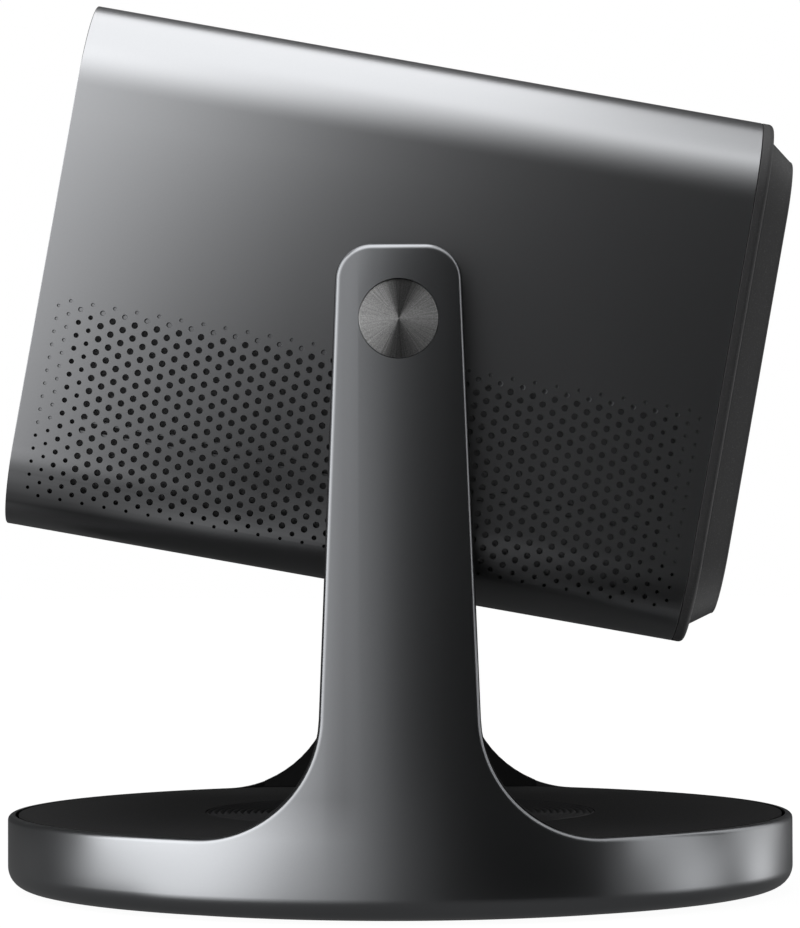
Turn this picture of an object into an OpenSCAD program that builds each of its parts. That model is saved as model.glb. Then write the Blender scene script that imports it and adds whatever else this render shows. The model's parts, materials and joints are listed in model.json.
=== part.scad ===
// Laser projector: a perforated metal head that tilts in a fork stand, on a foot it can turn on.
// The nose points along -X, left is -Y, and the origin is on the table under the stand's centre.

/* [Head] */
// Length of the metal sleeve
casing_l = 164; // [150:0.1:180]
// Width of the sleeve
casing_w = 180; // [170:0.5:195]
// Height of the sleeve
casing_h = 127.9; // [120:0.1:140]
// Outer radius of the sleeve's long edges
casing_r = 21; // [10:0.5:22]
// Wall of the sleeve
casing_t = 2; // [1.2:0.1:2.6]
// From the tilt axis to the sleeve's front edge
nose_l = 85.5; // [80:0.1:90]
// Angle that the nose is raised at rest
head_tilt = 10.2; // [0:0.1:20]
// Gap between the head and each arm
side_gap = 2; // [1.5:0.1:4]

/* [Perforation] */
// Distance between the holes of a column
hole_pitch = 3.14; // [2.8:0.01:4]
// Distance between columns
column_pitch = 2.675; // [2.5:0.005:3.5]
// Diameter of a full hole
hole_d = 1.5; // [1:0.05:1.8]
// Diameter of the holes along the border
border_hole_d = 0.9; // [0.5:0.05:1.2]
// Holes in a tall column
hole_rows = 16; // [8:1:16]
// Columns of holes
hole_columns = 59; // [20:1:59]
// Take every hole of the lattice, or every second one
hole_skip = 2; // [1:1:2]
// Distance of the top row below the tilt axis
field_top = 8.9; // [5:0.1:9.5]
// Middle of the field, behind the sleeve's middle
field_back = 0.6; // [0:0.1:1]

/* [Rear] */
// Thickness of the black bezel
bezel_t = 2.6; // [2:0.1:5]
// Seam between sleeve and bezel
seam_w = 0.3; // [0.1:0.05:0.8]
// How far the rear cover stands out of the bezel
cover_rise = 6.3; // [5:0.1:10]
// Inset of the cover from the bezel's edge
cover_inset = 4; // [3.6:0.1:8]
// Wall of the rear cover
cover_t = 2.4; // [1.8:0.1:3]
// Depth of the cover's chamfer, measured inwards
cover_chamfer = 3.8; // [2:0.1:5]
// Diameter of the power button
button_d = 12; // [8:0.5:16]
// Travel of the power button
button_travel = 0.8; // [0.4:0.1:1.2]
// Width of a vent slot in the rear cover
vent_slot_w = 2.2; // [1.5:0.1:3]
// Number of vent slots
vent_slots = 9; // [5:1:9]

/* [Front] */
// Width of the frame round the front panel
front_rim = 2.5; // [2:0.1:5]
// Thickness of the front panel
panel_t = 2.2; // [1.5:0.1:3]
// How far the front sits inside the sleeve
front_recess = 0.8; // [0.4:0.1:2]
// Lens axis, sideways from the middle
lens_y = 30; // [20:0.5:36]
// Bore of the lens barrel
barrel_bore = 44; // [40:0.5:46]
// Wall of the lens barrel
barrel_t = 2; // [1.5:0.1:2.4]
// Width of the trim ring round the lens
lens_ring_w = 5; // [4:0.1:6]
// Focus travel each way
focus_travel = 1.5; // [1:0.1:2]
// Diameter of the focus screw
focus_screw_d = 3; // [2.5:0.1:4]

/* [Stand] */
// Height of the tilt axis above the table
pivot_z = 142.9; // [140:0.1:160]
// Height of the rim of the base
rim_z = 19.7; // [18:0.1:24]
// Thickness of the metal skin
shell_t = 2; // [1.4:0.1:2.6]
// Outer rounding under the base wall
base_round = 5.4; // [4:0.1:7]
// Arm above the tilt axis
arm_rise = 17.6; // [16:0.1:22]
// Width of an arm at the tilt axis
arm_w = 30.7; // [28:0.1:36]
// Lean of each arm edge in degrees
arm_taper = 2.3; // [0.5:0.1:4]
// Radius of the arm's top corners
arm_corner_r = 8.5; // [4:0.1:10]
// Radius between arm and rim
arm_fillet_r = 30; // [20:0.5:32]
// Thickness of the arm's black inner cover
liner_t = 2; // [1.5:0.1:3]
// Thickness of the steel upright inside an arm
upright_t = 3; // [2.5:0.1:4]
// Width of the steel upright
upright_w = 22; // [19:0.5:23]
// Diameter of the pivot caps
cap_d = 18.8; // [16:0.1:20]
// Thickness of the deck
deck_t = 3.5; // [3:0.1:5]
// Groove between rim and deck
groove_w = 1.2; // [0.6:0.1:2]
// Diameter of the ribbed disc
ribbed_d = 101.4; // [90:0.1:110]
// Thickness of the ribbed disc
ribbed_t = 2; // [1.6:0.1:2.4]
// Distance between ribs
rib_pitch = 1.7; // [1.4:0.1:2.5]
// Diameter of the head's tilt journals
journal_d = 12; // [10:0.5:13]

/* [Foot] */
// Gap between the base wall and the table
foot_gap = 1; // [0.6:0.1:2]
// Diameter of the foot plate
foot_d = 185; // [170:0.5:186]
// Thickness of the foot plate
foot_t = 3; // [2.6:0.1:4]
// Width of the rubber ring
rubber_w = 9; // [6:0.5:12]
// Diameter of the pan spindle
spindle_d = 20; // [18:0.5:24]
// Drilled diameter of the tripod thread
tripod_bore = 5.1; // [5:0.05:5.2]
// Depth of the tripod thread
tripod_depth = 9; // [7:0.5:9.5]

/* [Fits] */
// Radial clearance of running shafts
run_clear = 0.05; // [0.02:0.01:0.09]
// Radial clearance of pressed and threaded pieces
press_clear = 0.02; // [0.01:0.01:0.05]
// Clearance round pieces that are dropped in
fit_clear = 0.15; // [0.1:0.05:0.3]
// Clearance between flat faces that slide
slide_clear = 0.05; // [0.03:0.01:0.1]

/* [Hidden] */
$fn = 64;
eps = 0.01;

// Sleeve
in_w = casing_w - 2 * casing_t;
in_h = casing_h - 2 * casing_t;
in_r = casing_r - casing_t;
front_a = -nose_l;
rear_a = casing_l - nose_l;
mid_a = (front_a + rear_a) / 2;

// Stand and its pivot, outwards along Y
inner_y = casing_w / 2 + side_gap;
hinge_room = 3;
foot_clear = 1.5;
lip_r = foot_d / 2 + foot_clear;
lip_w = 6;
// The base is wide enough for the fork and for the foot with the screws round it
skin_r = max(inner_y + liner_t + upright_t + hinge_room, lip_r + lip_w);
disc_r = skin_r + shell_t;
arm_top = pivot_z + arm_rise;
upright_y = inner_y + liner_t + fit_clear;
upright_out = upright_y + upright_t;
bush_t = 2;
bush_flange_t = 0.6;
tilt_nut_t = 0.8;
tilt_nut_y = upright_out + bush_flange_t + slide_clear;
cap_gap = 0.25;
cap_flange = 1.2;
cap_flange_y = tilt_nut_y + tilt_nut_t + fit_clear;
cap_flange_t = 0.45;
cap_inset = 0.1;
journal_r = journal_d / 2;
thread_step = 1;

// Foot and pan bearing, upwards from the table
foot_lift = 1.2;
foot_top = foot_lift + foot_t;
slip_t = 1;
slip_w = 22;
yoke_z = foot_top + slip_t + slide_clear;
yoke_t = 3;
yoke_top = yoke_z + yoke_t;
spindle_r = spindle_d / 2;
spigot_r = spindle_r + 2;
pan_flange_t = 1;
pan_shoulder = yoke_top + pan_flange_t + 0.35;
pan_nut_t = 3.5;
pan_flange_r = spindle_r + 5;
insert_r = 6;
deck_z = rim_z - deck_t;
rubber_r = foot_d / 2 - 3.5;
rubber_seat = 0.5;
shell_screw_r = (lip_r + skin_r) / 2;
shell_screw_angles = [0, 45, 135, 180, 225, 315];
shell_shank_r = 1.25;

// Chassis and trunnions, in the head's own frame
chassis_top = -0.5;
chassis_t = 3;
chassis_low = chassis_top - chassis_t;
chassis_front = front_a + 11;
chassis_rear = rear_a - 10;
flange_r = 18;
flange_t = 3.6;
flange_out = in_w / 2 - 0.4;
flange_in = flange_out - flange_t;
boss_r = journal_r + 5.5;
boss_out = inner_y - 0.4;
cheek_t = 3;
cheek_in = flange_in - cheek_t;
cheek_half = 17.5;
cheek_h = 20;
flange_screw_r = 14;
flange_shank_r = 1.5;

// Front
front_face = front_a + front_recess;
panel_back = front_face + panel_t;
front_depth = 8;
panel_w = in_w - 2 * fit_clear - 2 * front_rim;
panel_h = in_h - 2 * fit_clear - 2 * front_rim;
panel_r = in_r - fit_clear - front_rim;
panel_seat = 5;
sensor_y = -40;
sensor_w = 36;
sensor_h = 12;

// Lens and focus, along the head's axis
bore_r = barrel_bore / 2;
barrel_r = bore_r + barrel_t;
barrel_flange = 2;
barrel_flange_t = 2;
lens_w = chassis_top + barrel_r + barrel_flange + 0.5;
barrel_front = front_face + 5.6;
engine_front = front_face + 53.6;
ring_r = bore_r + lens_ring_w;
ring_proud = 0.3;
ring_edge = 1.4;
ring_land = 1;
front_lens_edge = [barrel_front + 2, barrel_front + 7];
front_lens_crown = 3;
group_a = (barrel_front + engine_front) / 2 - 1;
group_l = 16;
group_wall = 2.9;
group_clear = 0.1;
nut_l = 8;
nut_w = 7.6;
screw_r = focus_screw_d / 2;
motor_r = screw_r + 3.3;
screw_y = lens_y - barrel_r - motor_r - 0.2;
motor_l = 12;
slot_gap = 0.7;
bearing_a = barrel_front + 8;
bearing_t = 2;
bearing_rim = [2, 2.5];
slot_room = 2;
nut_rim = 2.4;

// Inside blocks
engine_l = 53;
engine_half = 34;
engine_top = 48;
engine_lid = 4;
engine_step = 3;
engine_bore_rim = 3;
engine_bore_l = 10;
imager_inset = 6;
imager_lift = 4;
imager_sink = 24;
imager_sink_l = 7;
block_gap = 0.2;
laser_l = 40;
laser_set_back = 6;
laser_a = engine_front + laser_set_back;
laser_nose = 4;
laser_nose_inset = 6;
laser_w = 48;
laser_top = 28;
fins_gap = 9;
fins_a = laser_a + laser_l + fins_gap;
fins_l = 38;
fins_w = 50;
fin_pitch = 4;
fin_t = 1;
fin_base_t = 3;
fin_top_t = 1.5;
pipe_w = 7;
pipe_h = 4;
pipe_pitch = 12;
pipe_inset = [3, 2];
board_t = 1.6;
main_drop = 6;
power_lift = 5;
board_half = 60;
chip = [30, 30, 3];
chip_at = [-15, -40];
memory = [6, 12, 1.5];
memory_at = [24, 10];
memory_pitch = 8;
coil = [34, 28, 20];
coil_at = [-30, -20];
can_r = 5.5;
can_h = 20;
can_at = [20, 24];
can_pitch = 13;
main_half_w = 70;
power_half_w = 48;
post_r = 3;
post_inset = 10;

// Fans and speakers hang under the chassis, facing the sides
side_face = in_w / 2 - 5;
unit_size = 46;
unit_w = chassis_low - unit_size / 2;
fan_a = chassis_rear - unit_size / 2 - 3;
fan_depth = 14;
fan_bore_r = 21.5;
fan_tip_gap = 1;
fan_hub_r = 9;
fan_hub_t = 3;
fan_pin_r = 1.5;
fan_blades = 7;
fan_blade_t = 1.2;
fan_blade_lean = 38;
fan_chord = 9;
speaker_a = chassis_front + unit_size / 2 + 5.4;
speaker_flange = 2.5;
cone_r = 18;
cone_depth = 7;
basket_r = 20;
basket_l = 18;
magnet_r = 14;
magnet_l = 8;
mesh_gap = 0.6;
mesh_t = 0.5;
mesh_turn = 50;
mesh_top = chassis_low - 0.5;

// Rear
bezel_a = rear_a + seam_w;
bezel_face = bezel_a + bezel_t;
cover_face = bezel_face + cover_rise;
cover_base = bezel_face - 4.9;
cover_low_inset = cover_inset + 0.3;
cover_top = casing_h / 2 - cover_inset;
cover_low = -casing_h / 2 + cover_low_inset;
cover_half = casing_w / 2 - cover_inset;
cover_r = casing_r - cover_inset + 0.5;
cover_mid = (cover_top + cover_low) / 2;
cover_edge = 0.7;
cover_lift = 0.3;
cavity_inset = cover_chamfer + 1.6;
groove_rear = 0.4;
spigot_l = 8;
spigot_t = 1.6;
ledge_t = 4;
ledge_w = 9;
wall_face = cover_face - cover_t;
port_w = cover_low + 21.2;
port_mid = -cover_half + 56.5;
port_size = [84, 16];
port_lap = 3;
port_panel_t = 2.2;
socket_l = 10.4;
socket_front = wall_face - 0.4;
hdmi_ys = [port_mid - 17, port_mid + 1];
hdmi_size = [15, 5.8];
usb_y = port_mid + 18.5;
usb_size = [14.4, 7];
socket_wall = 0.5;
socket_depth = 9;
audio_y = port_mid + 33;
audio_r = 3.5;
audio_bore = 1.8;
dc_y = port_mid - 34;
dc_r = 4.6;
dc_bore = 2.8;
dc_pin = 0.8;
button_y = cover_half - 26.5;
button_w = cover_top - 23.8;
button_gap = 0.25;
button_flange = 1.5;
button_flange_t = 1.2;
stem_r = 1.6;
stem_l = 0.5;
switch_r = 3;
switch_l = 1.4;
switch_gap = 0.1;
post_reach = button_d / 2 + button_flange + 3.5;
vent_y = [-cover_half + 12.5, button_y - 22];
vent_low = cover_top - 53.8;
vent_pitch = 5;

function arc(c, r, a0, a1, n = 16) =
  [for (i = [0:n]) let (a = a0 + (a1 - a0) * i / n) [c[0] + r * cos(a), c[1] + r * sin(a)]];
function flip_x(pts) = [for (i = [len(pts) - 1:-1:0]) [-pts[i][0], pts[i][1]]];

// Half-width of an arm at a height
function arm_edge(z) = arm_w / 2 + (pivot_z - z) * tan(arm_taper);

fillet_c = [arm_edge(rim_z + arm_fillet_r) + arm_fillet_r / cos(arm_taper), rim_z + arm_fillet_r];
corner_z = arm_top - arm_corner_r;
corner_c = [arm_edge(corner_z) - arm_corner_r / cos(arm_taper), corner_z];
arm_right = concat(arc(fillet_c, arm_fillet_r, 270, 180 + arm_taper),
  arc(corner_c, arm_corner_r, arm_taper, 90));
arm_outline = concat(arm_right, flip_x(arm_right));

module rounded(w, h, r) {
  square([w - 2 * r, h], center = true);
  square([w, h - 2 * r], center = true);
  for (x = [-1, 1], y = [-1, 1])
    translate([x * (w / 2 - r), y * (h / 2 - r)]) circle(r);
}

module ring(r_out, r_in, z0, z1) {
  translate([0, 0, z0]) difference() {
    cylinder(h = z1 - z0, r = r_out);
    translate([0, 0, -eps]) cylinder(h = z1 - z0 + 2 * eps, r = r_in);
  }
}

// Extrudes an X-Z outline along Y, or a Y-Z outline along X
module along_y(y0, y1) { translate([0, y1, 0]) rotate([90, 0, 0]) linear_extrude(y1 - y0) children(); }
module along_x(x0, x1) { translate([x0, 0, 0]) rotate([90, 0, 90]) linear_extrude(x1 - x0) children(); }

// Round bars along Y and along X
module bar_y(r, y0, y1, x = 0, z = 0) { along_y(y0, y1) translate([x, z]) circle(r); }
module bar_x(r, x0, x1, y = 0, z = 0) { along_x(x0, x1) translate([y, z]) circle(r); }

// The right-hand piece as drawn, or its mirror image on the left
module on_side(s) { mirror([0, s < 0 ? 1 : 0, 0]) children(); }

// Places what is drawn in the head's frame at the rest tilt
module in_head() { translate([0, 0, pivot_z]) rotate([0, head_tilt, 0]) children(); }

// Turns a lathe profile of radius and place along the axis onto the lens axis
module on_lens() { translate([0, lens_y, lens_w]) rotate([0, 90, 0]) rotate_extrude() children(); }

module foot_ring() {
  color([0.06, 0.06, 0.065]) ring(rubber_r, rubber_r - rubber_w, 0, foot_lift + rubber_seat);
}

module foot_plate() {
  color([0.2, 0.2, 0.21]) difference() {
    ring(foot_d / 2, spigot_r + press_clear, foot_lift, foot_top);
    ring(rubber_r + press_clear, rubber_r - rubber_w - press_clear, foot_lift - 1, foot_lift + rubber_seat);
  }
}

module slip_ring() {
  color([0.85, 0.85, 0.82]) ring(foot_d / 2 - 8, foot_d / 2 - 8 - slip_w, foot_top, foot_top + slip_t);
}

module pan_spindle() {
  color([0.55, 0.56, 0.58]) difference() {
    union() {
      translate([0, 0, foot_lift]) cylinder(h = foot_t, r = spigot_r);
      translate([0, 0, foot_top]) cylinder(h = slip_t, r = spigot_r + 10);
      translate([0, 0, foot_top]) cylinder(h = pan_shoulder - foot_top, r = spindle_r);
      translate([0, 0, pan_shoulder]) cylinder(h = pan_nut_t, r = spindle_r - 2);
    }
    translate([0, 0, foot_lift - 1]) cylinder(h = tripod_depth + 1.3, r = insert_r + press_clear);
  }
}

module tripod_insert() {
  color([0.72, 0.6, 0.33]) ring(insert_r, tripod_bore / 2, foot_lift + 0.1, foot_lift + 0.1 + tripod_depth);
}

module pan_nut() {
  color([0.6, 0.61, 0.63]) difference() {
    translate([0, 0, pan_shoulder]) cylinder(h = pan_nut_t, r = spindle_r + 4, $fn = 6);
    translate([0, 0, pan_shoulder - 1]) cylinder(h = pan_nut_t + 2, r = spindle_r - 2 + press_clear);
  }
}

module shell_wall() {
  rotate_extrude($fn = 128) polygon(concat(
    [[lip_r, yoke_z], [lip_r, foot_gap]],
    arc([disc_r - base_round, foot_gap + base_round], base_round, 270, 360),
    [[disc_r, arm_top + 1], [skin_r, arm_top + 1], [skin_r, yoke_z]]));
}

module shell_outline() {
  polygon(concat([[-disc_r - 1, 0], [disc_r + 1, 0], [disc_r + 1, rim_z]],
    arm_outline, [[-disc_r - 1, rim_z]]));
}

module at_shell_screws() {
  for (a = shell_screw_angles) rotate(a) translate([shell_screw_r, 0, 0]) children();
}

module stand_shell() {
  color([0.4, 0.41, 0.43]) difference() {
    intersection() {
      shell_wall();
      along_y(-disc_r - 1, disc_r + 1) shell_outline();
    }
    bar_y(cap_d / 2 + cap_gap, -disc_r - 1, disc_r + 1, 0, pivot_z);
    at_shell_screws() translate([0, 0, yoke_z - 3]) cylinder(h = 4, r = shell_shank_r + press_clear);
  }
}

module yoke_frame() {
  color([0.5, 0.5, 0.52]) difference() {
    union() {
      translate([0, 0, yoke_z]) cylinder(h = yoke_t, r = skin_r - 0.3);
      for (s = [-1, 1]) on_side(s) along_y(upright_y, upright_out) {
        translate([-upright_w / 2, yoke_z]) square([upright_w, pivot_z - yoke_z]);
        translate([0, pivot_z]) circle(upright_w / 2);
      }
    }
    translate([0, 0, yoke_z - 1]) cylinder(h = yoke_t + 2, r = spindle_r + bush_t + press_clear);
    bar_y(journal_r + bush_t + press_clear, -disc_r, disc_r, 0, pivot_z);
    at_shell_screws() translate([0, 0, yoke_z - 1]) cylinder(h = yoke_t + 2, r = shell_shank_r + fit_clear);
  }
}

module pan_bush() {
  color([0.7, 0.55, 0.3]) {
    difference() {
      union() {
        translate([0, 0, yoke_z]) cylinder(h = yoke_t, r = spindle_r + bush_t);
        translate([0, 0, yoke_top]) cylinder(h = pan_flange_t, r = pan_flange_r);
      }
      translate([0, 0, yoke_z - 1]) cylinder(h = yoke_t + pan_flange_t + 2, r = spindle_r + run_clear);
    }
  }
}

module ballast_ring() {
  color([0.25, 0.25, 0.26]) ring(lip_r - 6, pan_flange_r + 27, yoke_top, deck_z);
}

module deck_cover() {
  color([0.07, 0.07, 0.075]) difference() {
    translate([0, 0, deck_z]) cylinder(h = deck_t, r = skin_r - groove_w);
    translate([0, 0, rim_z - ribbed_t]) cylinder(h = ribbed_t + 1, r = ribbed_d / 2 + fit_clear);
    for (s = [-1, 1]) on_side(s) along_y(upright_y - 0.3, upright_out + 0.3)
      translate([-upright_w / 2 - 0.3, 0]) square([upright_w + 0.6, rim_z + 1]);
  }
}

module ribbed_disc() {
  rib_h = 0.6;
  ribs = floor((ribbed_d / 2 - 3) / rib_pitch);
  floor_z = rim_z - rib_h;
  tops = [for (i = [0:ribs - 1]) let (r = ribbed_d / 2 - i * rib_pitch)
    each [[r, rim_z], [r - rib_pitch * 0.45, rim_z], [r - rib_pitch * 0.6, floor_z],
      [r - rib_pitch * 0.85, floor_z]]];
  color([0.05, 0.05, 0.055]) rotate_extrude()
    polygon(concat([[0, rim_z - ribbed_t], [ribbed_d / 2, rim_z - ribbed_t]], tops, [[0, floor_z]]));
}

module arm_liner(s) {
  color([0.06, 0.06, 0.065]) on_side(s) difference() {
    intersection() {
      along_y(inner_y, disc_r) polygon(arm_outline);
      cylinder(h = arm_top + 1, r = skin_r - fit_clear, $fn = 128);
    }
    along_y(inner_y + liner_t, disc_r + 1) translate([-upright_w / 2 - 1, rim_z - 1])
      square([upright_w + 2, arm_top - 3 - rim_z]);
    bar_y(journal_r + bush_t, inner_y - 1, disc_r, 0, pivot_z);
  }
}

module tilt_bush(s) {
  color([0.7, 0.55, 0.3]) on_side(s) difference() {
    union() {
      bar_y(journal_r + bush_t, upright_y, upright_out, 0, pivot_z);
      bar_y(journal_r + bush_t + 2, upright_out, upright_out + bush_flange_t, 0, pivot_z);
    }
    bar_y(journal_r + run_clear, upright_y - 1, upright_out + 2, 0, pivot_z);
  }
}

module pivot_cap(s) {
  color([0.62, 0.63, 0.65]) on_side(s) {
    bar_y(cap_d / 2, cap_flange_y, disc_r - cap_inset, 0, pivot_z);
    bar_y(cap_d / 2 + cap_flange, cap_flange_y, cap_flange_y + cap_flange_t, 0, pivot_z);
  }
}

module shell_screws() {
  color([0.6, 0.6, 0.62]) at_shell_screws() {
    translate([0, 0, yoke_top]) cylinder(h = 2, r = shell_shank_r * 2);
    translate([0, 0, yoke_z - 2.8]) cylinder(h = yoke_t + 3, r = shell_shank_r);
  }
}

// Triangular lattice of side holes; the border holes are smaller
module hole_field() {
  for (c = [0:hole_skip:hole_columns - 1]) {
    first = hole_skip == 1 ? (c + 1) % 2 / 2 : 0.5 + c / 2 % 2;
    count = floor((hole_rows - 1 - first) / hole_skip) + 1;
    for (k = [0:count - 1]) {
      border = c < 2 || c > hole_columns - 3 || k == 0 || k == count - 1;
      translate([mid_a + field_back + (c - (hole_columns - 1) / 2) * column_pitch,
        -field_top - (first + k * hole_skip) * hole_pitch])
        circle(d = border ? border_hole_d : hole_d, $fn = 16);
    }
  }
}

module casing() {
  color([0.33, 0.34, 0.36]) in_head() difference() {
    along_x(front_a, rear_a) difference() {
      rounded(casing_w, casing_h, casing_r);
      rounded(in_w, in_h, in_r);
    }
    along_y(-casing_w, casing_w) hole_field();
    bar_y(boss_r + 0.5, -casing_w, casing_w);
  }
}

module front_frame() {
  color([0.05, 0.05, 0.055]) in_head() difference() {
    along_x(front_face, front_face + front_depth)
      rounded(in_w - 2 * fit_clear, in_h - 2 * fit_clear, in_r - fit_clear);
    along_x(front_face - 1, panel_back) rounded(panel_w, panel_h, panel_r);
    along_x(front_face, front_face + front_depth + 1)
      rounded(panel_w - 2 * panel_seat, panel_h - 2 * panel_seat, panel_r - panel_seat);
    bar_x(ring_r + fit_clear, front_face, front_face + front_depth + 1, lens_y, lens_w);
  }
}

module sensor_pill(grow) {
  end = (sensor_w - sensor_h) / 2;
  translate([sensor_y, lens_w]) {
    square([2 * end, sensor_h + 2 * grow], center = true);
    for (s = [-1, 1]) translate([s * end, 0]) circle(sensor_h / 2 + grow);
  }
}

module front_panel() {
  color([0.03, 0.03, 0.035]) in_head() along_x(front_face, panel_back) difference() {
    rounded(panel_w - 2 * fit_clear, panel_h - 2 * fit_clear, panel_r - fit_clear);
    translate([lens_y, lens_w]) circle(ring_r + fit_clear);
    sensor_pill(fit_clear);
  }
}

module sensor_window() {
  color([0.1, 0.03, 0.05]) in_head() along_x(front_face, panel_back) sensor_pill(0);
}

module lens_ring() {
  front = front_face - ring_proud;
  color([0.3, 0.31, 0.33]) in_head() on_lens() polygon([[ring_r, front], [ring_r, barrel_front],
    [bore_r, barrel_front], [bore_r, barrel_front - ring_land], [ring_r - ring_edge, front]]);
}

// A lens with a round crown on each side of a cylindrical edge
module lens(r, a0, a1, crown) {
  color([0.6, 0.7, 0.75]) in_head() on_lens() {
    ball = (r * r + crown * crown) / (2 * crown);
    span = asin(r / ball);
    polygon(concat(arc([0, a0 - crown + ball], ball, 270, 270 + span, 10),
      arc([0, a1 + crown - ball], ball, 90 - span, 90, 10)));
  }
}

module lens_front() { lens(bore_r - press_clear, front_lens_edge[0], front_lens_edge[1], front_lens_crown); }

module lens_barrel() {
  slot_half = group_l / 2 + focus_travel + slot_room;
  color([0.08, 0.08, 0.085]) in_head() difference() {
    union() {
      bar_x(barrel_r, barrel_front, engine_front, lens_y, lens_w);
      bar_x(barrel_r + barrel_flange, engine_front - barrel_flange_t, engine_front, lens_y, lens_w);
      along_x(bearing_a, bearing_a + bearing_t)
        translate([screw_y - screw_r - bearing_rim[0], lens_w - screw_r - bearing_rim[1]])
          square([lens_y - screw_y, 2 * (screw_r + bearing_rim[1])]);
    }
    bar_x(bore_r, barrel_front - 1, engine_front + 1, lens_y, lens_w);
    bar_x(screw_r + run_clear, bearing_a - 1, bearing_a + bearing_t + 1, screw_y, lens_w);
    bar_x(motor_r + fit_clear, engine_front - motor_l, engine_front + 1, screw_y, lens_w);
    along_x(group_a - slot_half, group_a + slot_half)
      translate([screw_y, lens_w - nut_w / 2 - slot_gap]) square([lens_y - screw_y, nut_w + 2 * slot_gap]);
  }
}

module focus_carriage() {
  color([0.16, 0.16, 0.17]) in_head() difference() {
    union() {
      bar_x(bore_r - group_clear, group_a - group_l / 2, group_a + group_l / 2, lens_y, lens_w);
      along_x(group_a - nut_l / 2, group_a + nut_l / 2)
        translate([screw_y - screw_r - nut_rim, lens_w - nut_w / 2]) square([lens_y - screw_y, nut_w]);
    }
    bar_x(bore_r - group_wall, group_a - group_l, group_a + group_l, lens_y, lens_w);
    bar_x(screw_r + run_clear, group_a - group_l, group_a + group_l, screw_y, lens_w);
  }
}

module focus_lens() { lens(bore_r - group_wall - press_clear, group_a - 2.5, group_a + 2.5, 2); }

module focus_motor() {
  color([0.5, 0.5, 0.52]) in_head() difference() {
    bar_x(motor_r, engine_front - motor_l, engine_front, screw_y, lens_w);
    bar_x(screw_r + run_clear, engine_front - motor_l - 1, engine_front - motor_l + 4, screw_y, lens_w);
  }
}

module focus_screw() {
  color([0.65, 0.66, 0.68]) in_head()
    bar_x(screw_r, bearing_a - 1, engine_front - motor_l + 3, screw_y, lens_w);
}

module chassis() {
  color([0.55, 0.56, 0.57]) in_head() difference() {
    union() {
      translate([chassis_front, -in_w / 2 + fit_clear, chassis_low])
        cube([chassis_rear - chassis_front, in_w - 2 * fit_clear, chassis_t]);
      for (s = [-1, 1]) on_side(s) translate([-cheek_half, cheek_in, -cheek_h])
        cube([2 * cheek_half, cheek_t, 2 * cheek_h]);
    }
    for (s = [-1, 1]) on_side(s) {
      translate([-flange_r - 1, flange_in, -cheek_h - 1]) cube([2 * flange_r + 2, in_w, 2 * cheek_h + 2]);
      at_flange_screws() bar_y(flange_shank_r + fit_clear, cheek_in - 1, flange_in + 1);
    }
  }
}

module at_flange_screws() {
  for (a = [45:90:315])
    translate([flange_screw_r * cos(a), 0, flange_screw_r * sin(a)]) children();
}

module trunnion(s) {
  color([0.52, 0.53, 0.55]) in_head() on_side(s) difference() {
    union() {
      bar_y(flange_r, flange_in, flange_out);
      bar_y(boss_r, flange_out, boss_out);
      bar_y(journal_r, boss_out, tilt_nut_y);
      bar_y(journal_r - thread_step, tilt_nut_y, tilt_nut_y + tilt_nut_t);
    }
    at_flange_screws() bar_y(flange_shank_r + press_clear, flange_in - 1, flange_out - 0.6);
  }
}

module trunnion_screws() {
  color([0.6, 0.6, 0.62]) in_head() for (s = [-1, 1]) on_side(s) at_flange_screws() {
    bar_y(flange_shank_r, cheek_in - 1, flange_out - 0.8);
    bar_y(flange_shank_r * 1.8, cheek_in - 1.8, cheek_in);
  }
}

module tilt_nuts() {
  color([0.6, 0.61, 0.63]) in_head() for (s = [-1, 1]) on_side(s) difference() {
    bar_y(journal_r + 2.5, tilt_nut_y, tilt_nut_y + tilt_nut_t);
    bar_y(journal_r - thread_step + press_clear, tilt_nut_y - 1, tilt_nut_y + 2);
  }
}

module light_engine() {
  color([0.42, 0.43, 0.45]) in_head() difference() {
    union() {
      translate([engine_front, lens_y - engine_half, chassis_top])
        cube([engine_l, 2 * engine_half, engine_top - chassis_top - engine_lid]);
      translate([engine_front + engine_step, lens_y - engine_half + engine_step, chassis_top])
        cube([engine_l - 2 * engine_step, 2 * (engine_half - engine_step), engine_top - chassis_top]);
    }
    bar_x(bore_r - engine_bore_rim, engine_front - 1, engine_front + engine_bore_l, lens_y, lens_w);
  }
}

module laser_module() {
  y0 = lens_y - engine_half - block_gap - laser_w;
  color([0.3, 0.3, 0.32]) in_head() {
    translate([laser_a, y0, chassis_top]) cube([laser_l, laser_w, laser_top - chassis_top]);
    translate([laser_a - laser_nose, y0 + laser_nose_inset, chassis_top])
      cube([laser_nose, laser_w - 2 * laser_nose_inset, laser_top / 2]);
  }
}

module dmd_board() {
  a0 = engine_front + engine_l;
  color([0.05, 0.25, 0.12]) in_head() {
    translate([a0, lens_y - engine_half + imager_inset, chassis_top + imager_lift])
      cube([board_t, 2 * (engine_half - imager_inset), engine_top - chassis_top - imager_lift - imager_inset]);
    translate([a0 + board_t, lens_y - imager_sink / 2, lens_w - imager_sink / 2])
      cube([imager_sink_l, imager_sink, imager_sink]);
  }
}

module heat_pipes() {
  y0 = lens_y - engine_half - block_gap - laser_w / 2;
  color([0.72, 0.45, 0.28]) in_head() for (i = [-1:1])
    along_x(laser_a + pipe_inset[0], fins_a + fins_l - pipe_inset[1])
      translate([y0 + i * pipe_pitch, laser_top + pipe_h / 2]) rounded(pipe_w, pipe_h, pipe_h / 2 - eps);
}

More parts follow.
